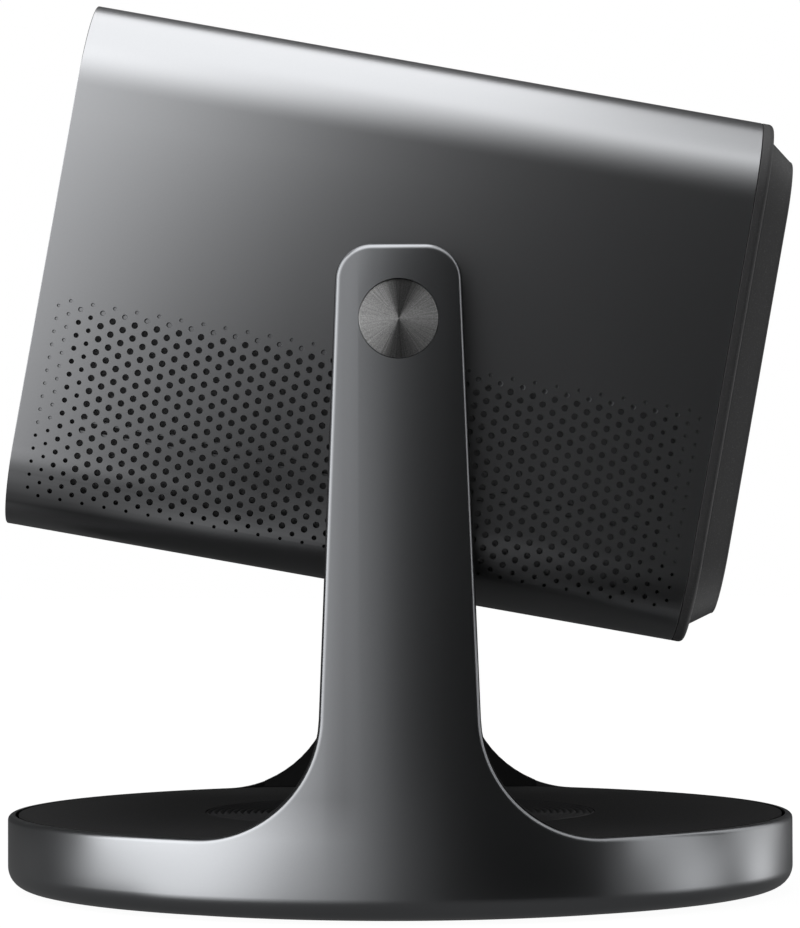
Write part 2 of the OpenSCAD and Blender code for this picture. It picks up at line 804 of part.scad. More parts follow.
module fin_stack() {
  y0 = lens_y - engine_half - block_gap - laser_w / 2 - fins_w / 2;
  fins = floor(fins_l / fin_pitch);
  color([0.66, 0.67, 0.68]) in_head() {
    translate([fins_a, y0, chassis_top]) cube([fins_l, fins_w, fin_base_t]);
    translate([fins_a, y0, laser_top - fin_top_t]) cube([fins_l, fins_w, fin_top_t]);
    for (i = [0:fins - 1]) translate([fins_a + i * fin_pitch + fin_pitch / 2, y0, chassis_top])
      cube([fin_t, fins_w, laser_top - chassis_top]);
  }
}

module fan_frame(s) {
  y_in = side_face - fan_depth;
  color([0.07, 0.07, 0.075]) in_head() on_side(s) {
    difference() {
      along_y(y_in, side_face) translate([fan_a, unit_w]) square(unit_size, center = true);
      bar_y(fan_bore_r, y_in - 1, side_face + 1, fan_a, unit_w);
    }
    for (a = [30:120:270]) translate([fan_a, 0, unit_w]) rotate([0, a, 0])
      translate([0, y_in, -1.2]) cube([fan_bore_r + 0.5, fan_hub_t, 2.4]);
    bar_y(fan_hub_r, y_in, y_in + fan_hub_t, fan_a, unit_w);
    bar_y(fan_pin_r, y_in, side_face - 2, fan_a, unit_w);
  }
}

module fan_rotor(s) {
  y0 = side_face - fan_depth + fan_hub_t + 0.3;
  y1 = side_face - 1;
  tip_r = fan_bore_r - fan_tip_gap;
  color([0.1, 0.1, 0.11]) in_head() on_side(s) difference() {
    union() {
      bar_y(fan_hub_r, y0, y1, fan_a, unit_w);
      intersection() {
        bar_y(tip_r, y0, y1, fan_a, unit_w);
        for (i = [0:fan_blades - 1])
          translate([fan_a, (y0 + y1) / 2, unit_w]) rotate([0, i * 360 / fan_blades, 0])
            rotate([fan_blade_lean, 0, 0]) translate([fan_hub_r - 2, -fan_chord / 2, -fan_blade_t / 2])
              cube([tip_r, fan_chord, fan_blade_t]);
      }
    }
    bar_y(fan_pin_r + run_clear, y0 - 1, side_face - 1.7, fan_a, unit_w);
  }
}

module speaker(s) {
  y0 = side_face - speaker_flange;
  color([0.12, 0.12, 0.13]) in_head() on_side(s) difference() {
    union() {
      along_y(y0, side_face) translate([speaker_a, unit_w]) square(unit_size, center = true);
      bar_y(basket_r, y0 - basket_l, y0, speaker_a, unit_w);
      bar_y(magnet_r, y0 - basket_l - magnet_l, y0 - basket_l, speaker_a, unit_w);
    }
    translate([speaker_a, side_face, unit_w]) rotate([90, 0, 0])
      translate([0, 0, -eps]) cylinder(h = cone_depth, r1 = cone_r, r2 = cone_r / 3);
  }
}

module main_board() {
  top = in_h / 2 - main_drop;
  color([0.06, 0.28, 0.14]) in_head() {
    translate([-board_half, -main_half_w, top - board_t]) cube([2 * board_half, 2 * main_half_w, board_t]);
    translate([chip_at[0], chip_at[1], top]) cube(chip);
    for (i = [0:3]) translate([memory_at[0] + i * memory_pitch, memory_at[1], top]) cube(memory);
  }
}

module power_board() {
  low = -in_h / 2 + power_lift;
  color([0.3, 0.24, 0.1]) in_head() {
    translate([-board_half, -power_half_w, low]) cube([2 * board_half, 2 * power_half_w, board_t]);
    translate([coil_at[0], coil_at[1], low + board_t]) cube(coil);
    for (i = [0:2]) translate([can_at[0] + i * can_pitch, can_at[1], low + board_t])
      cylinder(h = can_h, r = can_r);
  }
}

module board_posts() {
  color([0.72, 0.6, 0.33]) in_head() for (x = [-1, 1], y = [-1, 1]) {
    translate([x * (board_half - post_inset), y * (power_half_w - post_inset), -in_h / 2])
      cylinder(h = power_lift, r = post_r);
    translate([x * (board_half - post_inset), y * (main_half_w - post_inset), in_h / 2 - main_drop])
      cylinder(h = main_drop, r = post_r);
  }
}

module dust_mesh(s) {
  c = [in_w / 2 - in_r, -in_h / 2 + in_r];
  color([0.04, 0.04, 0.045]) in_head() on_side(s) difference() {
    along_x(chassis_front, chassis_rear) polygon(concat(
      [[in_w / 2 - mesh_gap, mesh_top]], arc(c, in_r - mesh_gap, 0, -mesh_turn, 8),
      arc(c, in_r - mesh_gap - mesh_t, -mesh_turn, 0, 8), [[in_w / 2 - mesh_gap - mesh_t, mesh_top]]));
    bar_y(flange_r + 1, side_face, in_w / 2);
  }
}

module cover_outline(grow) {
  translate([0, cover_mid])
    rounded(2 * cover_half + 2 * grow, cover_top - cover_low + 2 * grow, cover_r + grow);
}

module rear_bezel() {
  color([0.05, 0.05, 0.055]) in_head() difference() {
    union() {
      along_x(bezel_a, bezel_face) rounded(casing_w, casing_h, casing_r);
      along_x(bezel_a - spigot_l, bezel_a)
        rounded(in_w - 2 * fit_clear, in_h - 2 * fit_clear, in_r - fit_clear);
    }
    along_x(cover_base, bezel_face + 1) cover_outline(groove_rear);
    along_x(bezel_a - spigot_l - 1, cover_base - ledge_t)
      rounded(in_w - 2 * spigot_t, in_h - 2 * spigot_t, in_r - spigot_t);
    along_x(bezel_a - spigot_l - 1, bezel_face) cover_outline(-ledge_w);
  }
}

module cover_side() {
  polygon([[cover_base, cover_low], [cover_base, cover_top], [bezel_face + cover_lift, cover_top],
    [cover_face - cover_edge, cover_top - cover_chamfer], [cover_face, cover_top - cover_chamfer - cover_edge],
    [cover_face, cover_low + cover_chamfer + cover_edge], [cover_face - cover_edge, cover_low + cover_chamfer],
    [bezel_face + cover_lift, cover_low]]);
}

module cover_plan() {
  right = [[cover_base, cover_half], [bezel_face + cover_lift, cover_half],
    [cover_face - cover_edge, cover_half - cover_chamfer],
    [cover_face, cover_half - cover_chamfer - cover_edge]];
  polygon(concat(right, [for (i = [len(right) - 1:-1:0]) [right[i][0], -right[i][1]]]));
}

module rear_cover() {
  color([0.045, 0.045, 0.05]) in_head() difference() {
    intersection() {
      along_x(cover_base, cover_face) cover_outline(0);
      along_y(-casing_w, casing_w) cover_side();
      translate([0, 0, -casing_h]) linear_extrude(2 * casing_h) cover_plan();
    }
    along_x(cover_base - 1, wall_face) cover_outline(-cavity_inset);
    along_x(cover_base, cover_face + 1) translate([port_mid, port_w]) square(port_size, center = true);
    for (i = [0:vent_slots - 1]) along_x(cover_base, cover_face + 1)
      translate([vent_y[0], vent_low + i * vent_pitch]) square([vent_y[1] - vent_y[0], vent_slot_w]);
    bar_x(button_d / 2 + button_gap, cover_base, cover_face + 1, button_y, button_w);
  }
}

module socket_outlines(grow) {
  for (y = hdmi_ys) translate([y, port_w]) square(hdmi_size + 2 * grow * [1, 1], center = true);
  translate([usb_y, port_w]) square(usb_size + 2 * grow * [1, 1], center = true);
}

module port_panel() {
  color([0.04, 0.04, 0.045]) in_head() along_x(wall_face - port_panel_t, wall_face) difference() {
    translate([port_mid, port_w]) square(port_size + 2 * port_lap * [1, 1], center = true);
    socket_outlines(fit_clear);
    translate([audio_y, port_w]) circle(audio_r + fit_clear);
    translate([dc_y, port_w]) circle(dc_r + fit_clear);
  }
}

module signal_sockets() {
  color([0.7, 0.7, 0.72]) in_head() difference() {
    along_x(socket_front - socket_l, socket_front) socket_outlines(0);
    along_x(socket_front - socket_depth, socket_front + 1) socket_outlines(-socket_wall);
  }
}

module audio_socket() {
  color([0.1, 0.1, 0.1]) in_head() difference() {
    bar_x(audio_r, socket_front - socket_l, socket_front, audio_y, port_w);
    bar_x(audio_bore, socket_front - socket_depth, socket_front + 1, audio_y, port_w);
  }
}

module dc_inlet() {
  color([0.1, 0.1, 0.1]) in_head() {
    difference() {
      bar_x(dc_r, socket_front - socket_l, socket_front, dc_y, port_w);
      bar_x(dc_bore, socket_front - socket_depth, socket_front + 1, dc_y, port_w);
    }
    bar_x(dc_pin, socket_front - socket_l + 0.5, socket_front - 1, dc_y, port_w);
  }
}

module power_button() {
  flange_face = wall_face - 0.2;
  color([0.12, 0.12, 0.125]) in_head() {
    bar_x(button_d / 2, flange_face - button_flange_t, cover_face, button_y, button_w);
    bar_x(button_d / 2 + button_flange, flange_face - button_flange_t, flange_face, button_y, button_w);
    bar_x(stem_r, flange_face - button_flange_t - stem_l, flange_face, button_y, button_w);
  }
}

module switch_board() {
  top = wall_face - 0.2 - button_flange_t - stem_l - button_travel - switch_gap - switch_l;
  color([0.06, 0.28, 0.14]) in_head() {
    along_x(top - board_t, top) translate([button_y, button_w]) square([2 * post_reach + 5, 14], center = true);
    bar_x(switch_r, top - eps, top + switch_l, button_y, button_w);
    for (s = [-1, 1]) bar_x(2, top - eps, wall_face, button_y + s * post_reach, button_w);
  }
}

foot_ring();
foot_plate();
slip_ring();
pan_spindle();
tripod_insert();
pan_nut();
stand_shell();
yoke_frame();
pan_bush();
ballast_ring();
deck_cover();
ribbed_disc();
arm_liner(-1);  // arm_liner_left
arm_liner(1);  // arm_liner_right
tilt_bush(-1);  // tilt_bush_left
tilt_bush(1);  // tilt_bush_right
pivot_cap(-1);  // pivot_cap_left
pivot_cap(1);  // pivot_cap_right
shell_screws();
casing();
front_frame();
front_panel();
lens_ring();
lens_front();
lens_barrel();
sensor_window();
rear_bezel();
rear_cover();
port_panel();
signal_sockets();
audio_socket();
dc_inlet();
switch_board();
chassis();
trunnion(-1);  // trunnion_left
trunnion(1);  // trunnion_right
trunnion_screws();
tilt_nuts();
light_engine();
laser_module();
dmd_board();
heat_pipes();
fin_stack();
fan_frame(-1);  // fan_frame_left
fan_frame(1);  // fan_frame_right
main_board();
power_board();
board_posts();
speaker(-1);  // speaker_left
speaker(1);  // speaker_right
dust_mesh(-1);  // mesh_left
dust_mesh(1);  // mesh_right
focus_motor();
power_button();
fan_rotor(-1);  // fan_rotor_left
fan_rotor(1);  // fan_rotor_right
focus_carriage();
focus_lens();
focus_screw();
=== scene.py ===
import bpy
import bmesh
import json
import math
from mathutils import Matrix, Vector

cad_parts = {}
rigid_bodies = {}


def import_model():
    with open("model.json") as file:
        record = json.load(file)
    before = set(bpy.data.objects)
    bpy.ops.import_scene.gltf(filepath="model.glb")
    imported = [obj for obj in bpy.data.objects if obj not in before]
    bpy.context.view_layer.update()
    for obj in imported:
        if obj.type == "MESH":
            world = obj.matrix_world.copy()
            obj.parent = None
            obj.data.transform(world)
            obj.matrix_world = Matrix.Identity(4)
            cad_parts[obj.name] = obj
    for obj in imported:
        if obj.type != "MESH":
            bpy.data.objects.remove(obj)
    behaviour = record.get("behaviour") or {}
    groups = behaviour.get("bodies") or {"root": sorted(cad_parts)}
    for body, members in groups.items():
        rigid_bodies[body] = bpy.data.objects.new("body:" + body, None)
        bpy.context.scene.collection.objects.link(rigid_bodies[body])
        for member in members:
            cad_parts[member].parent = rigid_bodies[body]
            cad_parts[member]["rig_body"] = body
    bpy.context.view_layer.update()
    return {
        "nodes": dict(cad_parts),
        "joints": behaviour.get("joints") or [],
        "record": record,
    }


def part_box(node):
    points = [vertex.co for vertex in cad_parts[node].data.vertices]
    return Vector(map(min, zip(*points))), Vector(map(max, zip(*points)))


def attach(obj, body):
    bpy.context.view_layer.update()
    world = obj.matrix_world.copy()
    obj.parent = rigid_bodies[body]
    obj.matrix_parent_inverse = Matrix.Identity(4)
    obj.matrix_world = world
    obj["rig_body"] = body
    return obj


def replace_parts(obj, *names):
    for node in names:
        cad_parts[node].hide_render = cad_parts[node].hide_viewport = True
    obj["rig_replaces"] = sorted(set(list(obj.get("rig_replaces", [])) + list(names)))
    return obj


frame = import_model()
nodes = frame["nodes"]
joints = {joint["name"]: joint for joint in frame["joints"]}
slotOf = {part["node"]: part["material_slot"] for part in frame["record"]["subparts"]}
mm = 0.001
print("frame loaded:", len(nodes), "nodes")

# The head's own axes: along it to the rear, across it, and up through its lid
pivot = Vector(joints["tilt"]["pos_m"])
alongHead = Vector(joints["focus_slide"]["axis"]).normalized()
acrossHead = Vector((0, 1, 0))
upHead = Vector((-alongHead.z, 0, alongHead.x))


def inHead(a, y, w):
    return pivot + (alongHead * a + acrossHead * y + upHead * w) * mm


def headBox(node):  # lowest and highest (along, across, up) of a head node, in mm
    spots = [vertex.co - pivot for vertex in nodes[node].data.vertices]
    spans = [[spot.dot(axis) / mm for spot in spots] for axis in (alongHead, acrossHead, upHead)]
    return [min(span) for span in spans], [max(span) for span in spans]


def plainBox(node):  # the same for a node of the stand or foot, in the frame's own axes
    low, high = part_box(node)
    return low / mm, high / mm


def headMiddle(node):  # centre of a head node, across and up
    low, high = headBox(node)
    return (low[1] + high[1]) / 2, (low[2] + high[2]) / 2


# Mesh helpers

def addObject(name, data):
    piece = bpy.data.objects.new(name, data)
    bpy.context.scene.collection.objects.link(piece)
    return piece


def closedMesh(name, points, faces):  # all faces turned outwards
    mesh = bpy.data.meshes.new(name)
    mesh.from_pydata(points, [], faces)
    shape = bmesh.new()
    shape.from_mesh(mesh)
    bmesh.ops.recalc_face_normals(shape, faces=shape.faces)
    shape.to_mesh(mesh)
    shape.free()
    return addObject(name, mesh)


def meshFromRings(name, rings, joinEnds=False, capEnds=False):
    count = len(rings[0])
    faces = []
    for i in range(len(rings) if joinEnds else len(rings) - 1):
        near = i * count
        far = (i + 1) % len(rings) * count
        for j in range(count):
            k = (j + 1) % count
            faces.append((near + j, near + k, far + k, far + j))
    if capEnds:
        faces.append(tuple(range(count)))
        faces.append(tuple(range((len(rings) - 1) * count, len(rings) * count)))
    return closedMesh(name, [point for ring in rings for point in ring], faces)


def pegsMesh(name, pegs):  # many separate prisms in one cutter, each a pair of rings
    points = []
    faces = []
    for near, far in pegs:
        first = len(points)
        count = len(near)
        points += near + far
        faces.append(tuple(range(first, first + count)))
        faces.append(tuple(range(first + 2 * count - 1, first + count - 1, -1)))
        for j in range(count):
            k = (j + 1) % count
            faces.append((first + k, first + j, first + count + j, first + count + k))
    return closedMesh(name, points, faces)


def bakeModifiers(piece):
    bpy.context.view_layer.update()
    shaped = piece.evaluated_get(bpy.context.evaluated_depsgraph_get())
    piece.data = bpy.data.meshes.new_from_object(shaped)
    piece.modifiers.clear()


def cutAway(piece, cutter):
    cut = piece.modifiers.new("cut", "BOOLEAN")
    cut.operation = "DIFFERENCE"
    cut.solver = "MANIFOLD"
    cut.object = cutter
    bakeModifiers(piece)
    bpy.data.objects.remove(cutter)


def softenEdges(piece, width, segments, angle=35):
    soft = piece.modifiers.new("soft", "BEVEL")
    soft.width = width * mm
    soft.segments = segments
    soft.limit_method = "ANGLE"
    soft.angle_limit = math.radians(angle)
    soft.use_clamp_overlap = True
    bakeModifiers(piece)


def dress(piece, finish, *stoodFor, sharp=32):  # finish, smooth shading, and the nodes it stands for
    piece.data.materials.clear()
    piece.data.materials.append(finish)
    for polygon in piece.data.polygons:
        polygon.use_smooth = True
    piece.data.set_sharp_from_angle(angle=math.radians(sharp))
    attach(piece, nodes[stoodFor[0]]["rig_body"])
    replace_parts(piece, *stoodFor)
    return piece


def evenNormals(piece):  # flat faces stay flat beside an eased edge
    even = piece.modifiers.new("even", "WEIGHTED_NORMAL")
    even.keep_sharp = True
    bakeModifiers(piece)


# First clean-up of a node's own mesh: joins points this near (mm), merges faces this flat (degrees)
cleanUp = {"weld": 0.002, "flat": 0.5}


def softCopy(node, name, width, segments):  # the node's own shape with eased edges
    shape = bmesh.new()
    shape.from_mesh(nodes[node].data)
    bmesh.ops.remove_doubles(shape, verts=shape.verts, dist=cleanUp["weld"] * mm)
    bmesh.ops.dissolve_limit(shape, angle_limit=math.radians(cleanUp["flat"]),
                             verts=shape.verts, edges=shape.edges)
    mesh = bpy.data.meshes.new(name)
    shape.to_mesh(mesh)
    shape.free()
    if "custom_normal" in mesh.attributes:
        mesh.attributes.remove(mesh.attributes["custom_normal"])
    piece = addObject(name, mesh)
    softenEdges(piece, width, segments)
    return piece


def arcPoints(x, z, radius, start, sweep, steps):
    turns = [start + sweep * k / steps for k in range(steps + 1)]
    return [(x + radius * math.cos(turn), z + radius * math.sin(turn)) for turn in turns]


def roundedLoop(halfWidth, low, high, radius, steps, shoulder=0.4):
    # a rounded rectangle of (across, up) points, with one point just past each end of a corner
    corners = [(halfWidth - radius, high - radius, 0), (radius - halfWidth, high - radius, 90),
               (radius - halfWidth, low + radius, 180), (halfWidth - radius, low + radius, 270)]
    loop = []
    for y, w, start in corners:
        first = math.radians(start)
        last = math.radians(start + 90)
        loop.append((y + radius * math.cos(first) + shoulder * math.sin(first),
                     w + radius * math.sin(first) - shoulder * math.cos(first)))
        loop += arcPoints(y, w, radius, first, last - first, steps)
        loop.append((y + radius * math.cos(last) - shoulder * math.sin(last),
                     w + radius * math.sin(last) + shoulder * math.cos(last)))
    return loop


def headLoop(a, box, inset, radius, steps):  # rounded outline of a head node's box, drawn in by inset
    low, high = box
    loop = roundedLoop(high[1] - inset, low[2] + inset, high[2] - inset, radius, steps)
    return [inHead(a, y, w) for y, w in loop]


def circlePoints(radius, sides):
    turns = [2 * math.pi * k / sides for k in range(sides)]
    return [(radius * math.cos(turn), radius * math.sin(turn)) for turn in turns]


def headCircle(a, middle, radius, sides):  # round a line that runs along the head
    return [inHead(a, middle[0] + y, middle[1] + w) for y, w in circlePoints(radius, sides)]


def pivotCircle(radius, y, sides):  # round the tilt axis
    return [pivot + Vector((x, y, z)) * mm for x, z in circlePoints(radius, sides)]


def quarterTurns(steps):
    return [math.pi / 2 * k / steps for k in range(steps + 1)]


# Finishes

grainSpan = (0.3, 0.7)  # nearly all of a noise texture lies between these
smoothest = 0.02  # lowest roughness that grain may reach
wavePeriod = 0.314  # length of one wave in a wave texture of scale 1


def addNode(tree, kind, **inputs):
    node = tree.nodes.new(kind)
    for name, value in inputs.items():
        node.inputs[name].default_value = value
    return node


def addPlaced(tree, kind, **inputs):  # the same, fed with the place on the object
    node = addNode(tree, kind, **inputs)
    place = tree.nodes.new("ShaderNodeTexCoord")
    tree.links.new(place.outputs["Object"], node.inputs["Vector"])
    return node


def feed(tree, source, socket):  # into the finish's own shader
    tree.links.new(source, tree.nodes["Principled BSDF"].inputs[socket])


def mathNode(tree, operation, *values):  # each value is a number or another node's output
    node = tree.nodes.new("ShaderNodeMath")
    node.operation = operation
    for value, socket in zip(values, node.inputs):
        if isinstance(value, float):
            socket.default_value = value
        else:
            tree.links.new(value, socket)
    return node.outputs[0]


def mapRange(tree, source, span, result=(0, 1)):
    ends = {"From Min": span[0], "From Max": span[1], "To Min": result[0], "To Max": result[1]}
    node = addNode(tree, "ShaderNodeMapRange", **ends)
    tree.links.new(source, node.inputs["Value"])
    return node.outputs["Result"]


def ramp(tree, source, stops):  # grey level between the listed spots
    node = tree.nodes.new("ShaderNodeValToRGB")
    elements = node.color_ramp.elements
    for spot, level in stops:
        element = {0.0: elements[0], 1.0: elements[-1]}.get(spot) or elements.new(spot)
        element.color = (level, level, level, 1)
    tree.links.new(source, node.inputs["Fac"])
    return node.outputs["Color"]


def addRelief(tree, height, depth, strength=1.0):  # on top of the relief that is there already
    bump = addNode(tree, "ShaderNodeBump", Strength=strength, Distance=depth * mm)
    tree.links.new(height, bump.inputs["Height"])
    normal = tree.nodes["Principled BSDF"].inputs["Normal"]
    if normal.is_linked:
        tree.links.new(normal.links[0].from_socket, bump.inputs["Normal"])
    tree.links.new(bump.outputs["Normal"], normal)


def makeFinish(name, color, rough, metal=0.0, grainSize=0.5, grainColor=0.12, grainRough=0.06,
               grainDepth=0.005, sockets=None):
    finish = bpy.data.materials.new(name)
    finish.use_nodes = True
    tree = finish.node_tree
    shader = tree.nodes["Principled BSDF"]
    shader.inputs["Metallic"].default_value = metal
    for socket, value in (sockets or {}).items():
        shader.inputs[socket].default_value = value
    grain = addPlaced(tree, "ShaderNodeTexNoise", Scale=1 / (grainSize * mm), Detail=3.0, Roughness=0.6)
    grain.name = "grain"
    tint = tree.nodes.new("ShaderNodeValToRGB")
    tint.name = "tint"
    shares = (1 - grainColor, 1 + grainColor)
    for element, position, share in zip(tint.color_ramp.elements, grainSpan, shares):
        element.position = position
        element.color = [min(channel * share, 1) for channel in color] + [1]
    tree.links.new(grain.outputs["Fac"], tint.inputs["Fac"])
    feed(tree, tint.outputs["Color"], "Base Color")
    wear = (max(rough - grainRough, smoothest), min(rough + grainRough, 1))
    feed(tree, mapRange(tree, grain.outputs["Fac"], grainSpan, wear), "Roughness")
    addRelief(tree, grain.outputs["Fac"], grainDepth)
    return finish


def tintTowards(tree, share, color):  # from the ground colour to another, by share
    blend = tree.nodes.new("ShaderNodeMix")
    blend.data_type = "RGBA"
    blend.inputs["B"].default_value = color + (1,)
    tree.links.new(share, blend.inputs["Factor"])
    tree.links.new(tree.nodes["tint"].outputs["Color"], blend.inputs["A"])
    feed(tree, blend.outputs["Result"], "Base Color")


def addSpecks(finish, size, share, color, softness=0.08):  # scattered light grains
    tree = finish.node_tree
    specks = addPlaced(tree, "ShaderNodeTexNoise", Scale=1 / (size * mm), Detail=1.0)
    pick = mapRange(tree, specks.outputs["Fac"], (1 - share, 1 - share + softness))
    tintTowards(tree, pick, color)
    return finish


def pivotAxis(tree, axis, ends):  # share of the way between two ends, in mm from the pivot along an axis
    along = addPlaced(tree, "ShaderNodeVectorMath")
    along.operation = "DOT_PRODUCT"
    along.inputs[1].default_value = axis
    return mapRange(tree, along.outputs["Value"], [pivot.dot(axis) + end * mm for end in ends])


# Painted shade in the two metals: darker zones, each a loss by place along the piece, times a share by
# height
sidePaintedShade = ({"along": alongHead, "ends": (-90, 90), "up": upHead, "heights": (35, -64),
             "loss": ((0.0, 0.36), (0.1, 0.5), (0.22, 0.68), (0.36, 0.76), (0.5, 0.6), (0.65, 0.22),
                      (0.76, 0.02), (1.0, 0.0)),
             "share": ((0.0, 0.0), (0.8, 1.0), (0.9, 0.9), (1.0, 0.3))},
            # painted shade along the sleeve's lower rounded edge, deepest at its front
            {"along": alongHead, "ends": (-90, 90), "up": upHead, "heights": (-43, -64),
             "loss": ((0.0, 0.92), (0.1, 0.9), (0.14, 0.87), (0.18, 0.8), (0.25, 0.65), (0.32, 0.48),
                      (0.4, 0.36), (0.65, 0.3), (1.0, 0.12)),
             "share": ((0.0, 0.0), (0.15, 0.08), (0.24, 0.28), (0.32, 0.58), (0.385, 0.76), (0.44, 0.8),
                       (0.54, 0.92), (0.65, 1.0), (0.74, 1.0), (0.85, 0.6), (1.0, 0.35))})
# painted shade on the stand's arms: darker towards their left edge, from just above the base upwards
armPaintedShade = ({"along": Vector((1, 0, 0)), "ends": (-17, -4),
            "up": Vector((0, 0, 1)), "heights": (-123, -113),
            "loss": ((0.0, 0.3), (0.3, 0.29), (0.43, 0.21), (0.58, 0.125), (0.76, 0.07), (1.0, 0.0)),
            "share": ((0.0, 0.0), (1.0, 1.0))},)


# paints shade into the base colour: each zone darkens it by its loss times its share
def paintShadeZones(finish, zones):
    tree = finish.node_tree
    shaded = tree.nodes["tint"].outputs["Color"]
    for zone in zones:
        loss = ramp(tree, pivotAxis(tree, zone["along"], zone["ends"]), zone["loss"])
        share = ramp(tree, pivotAxis(tree, zone["up"], zone["heights"]), zone["share"])
        scaled = tree.nodes.new("ShaderNodeVectorMath")
        scaled.operation = "SCALE"
        left = mathNode(tree, "SUBTRACT", 1.0, mathNode(tree, "MULTIPLY", share, loss))
        tree.links.new(shaded, scaled.inputs[0])
        tree.links.new(left, scaled.inputs["Scale"])
        shaded = scaled.outputs[0]
    feed(tree, shaded, "Base Color")
    return finish


def addRings(finish, pitch, depth, axis, middle=Vector()):  # turned grooves round an axis of the frame
    tree = finish.node_tree
    centre = addPlaced(tree, "ShaderNodeMapping", Location=-middle)
    rings = addNode(tree, "ShaderNodeTexWave", Scale=wavePeriod / (pitch * mm), Distortion=0.6)
    rings.wave_type = "RINGS"
    rings.rings_direction = axis
    rings.inputs["Detail Scale"].default_value = 3.0
    tree.links.new(centre.outputs["Vector"], rings.inputs["Vector"])
    addRelief(tree, rings.outputs["Fac"], depth)
    return finish


# Spun face of the caps; its two bright sectors are a painted highlight drawn into the colour. In the
# painted sheen 0 and 1 point to the front, 0.25 up, 0.5 to the rear, 0.75 down
spunFace = {"color": (0.42, 0.425, 0.435), "rough": 0.36, "groove": 0.22, "grooveDepth": 0.0015,
            "rays": 110.0, "streak": (0.78, 1.2), "glint": (0.7, 1.3),
            "paintedSheen": ((0.0, 0.4), (0.083, 0.38), (0.167, 0.32), (0.21, 0.14), (0.25, 0.065), (0.3, 0.08),
                      (0.34, 0.18), (0.375, 0.3), (0.444, 0.33), (0.5, 0.29), (0.556, 0.21),
                      (0.625, 0.18), (0.68, 0.1), (0.74, 0.06), (0.79, 0.12), (0.833, 0.37),
                      (0.944, 0.42), (1.0, 0.4))}


def spunMetal(face):  # the lay runs round the pivot; the two bright sectors are a painted highlight in the colour, broken by random streaks and grain
    finish = makeFinish("spunMetal", face["color"], face["rough"], 1, 0.25, 0.1, 0.06, 0.001,
                        {"Anisotropic": 0.95, "Anisotropic Rotation": 0.25})
    addRings(finish, face["groove"], face["grooveDepth"], "Y", pivot)
    tree = finish.node_tree
    lay = tree.nodes.new("ShaderNodeTangent")
    lay.direction_type = "RADIAL"
    lay.axis = "Y"
    feed(tree, lay.outputs["Tangent"], "Tangent")
    centre = addPlaced(tree, "ShaderNodeMapping", Rotation=(math.pi / 2, 0, 0),
                       Location=Vector((-pivot.x, pivot.z, 0)))
    turn = tree.nodes.new("ShaderNodeTexGradient")
    turn.gradient_type = "RADIAL"
    tree.links.new(centre.outputs["Vector"], turn.inputs["Vector"])
    rays = addNode(tree, "ShaderNodeTexNoise", Scale=face["rays"], Detail=3.0, Roughness=0.7)
    rays.noise_dimensions = "1D"
    tree.links.new(turn.outputs["Fac"], rays.inputs["W"])
    streak = mapRange(tree, rays.outputs["Fac"], grainSpan, face["streak"])
    glint = mapRange(tree, tree.nodes["grain"].outputs["Fac"], grainSpan, face["glint"])
    streaked = mathNode(tree, "MULTIPLY", streak, glint)
    # painted highlight: colour by bearing round the pivot
    paintedSheen = ramp(tree, turn.outputs["Fac"], face["paintedSheen"])
    feed(tree, mathNode(tree, "MULTIPLY", streaked, paintedSheen), "Base Color")
    return finish


board = {"mask": (0.02, 0.12, 0.055), "rough": 0.35, "coat": 0.4, "grain": 0.6,
         "track": (0.06, 0.24, 0.1), "trackScale": 260.0, "trackEdge": (0.42, 0.46)}


def boardGreen(look):  # solder mask over a net of copper tracks
    finish = makeFinish("boardGreen", look["mask"], look["rough"], grainSize=look["grain"],
                        sockets={"Coat Weight": look["coat"]})
    tree = finish.node_tree
    net = addPlaced(tree, "ShaderNodeTexVoronoi", Scale=look["trackScale"])
    net.distance = "MANHATTAN"
    tintTowards(tree, mapRange(tree, net.outputs["Distance"], look["trackEdge"]), look["track"])
    return finish


weave = {"color": (0.2, 0.2, 0.205), "rough": 0.8, "fuzz": 0.2, "fuzzDepth": 0.01,
         "pitch": 0.3, "depth": 0.05, "strength": 0.7}


def wovenScreen(cloth):  # fine grey cloth, its threads raised by two crossed waves
    finish = makeFinish("wovenScreen", cloth["color"], cloth["rough"], grainSize=cloth["fuzz"],
                        grainDepth=cloth["fuzzDepth"])
    tree = finish.node_tree
    for direction in ("X", "Z"):
        thread = addPlaced(tree, "ShaderNodeTexWave", Scale=wavePeriod / (cloth["pitch"] * mm))
        thread.bands_direction = direction
        addRelief(tree, thread.outputs["Fac"], cloth["depth"], cloth["strength"])
    return finish


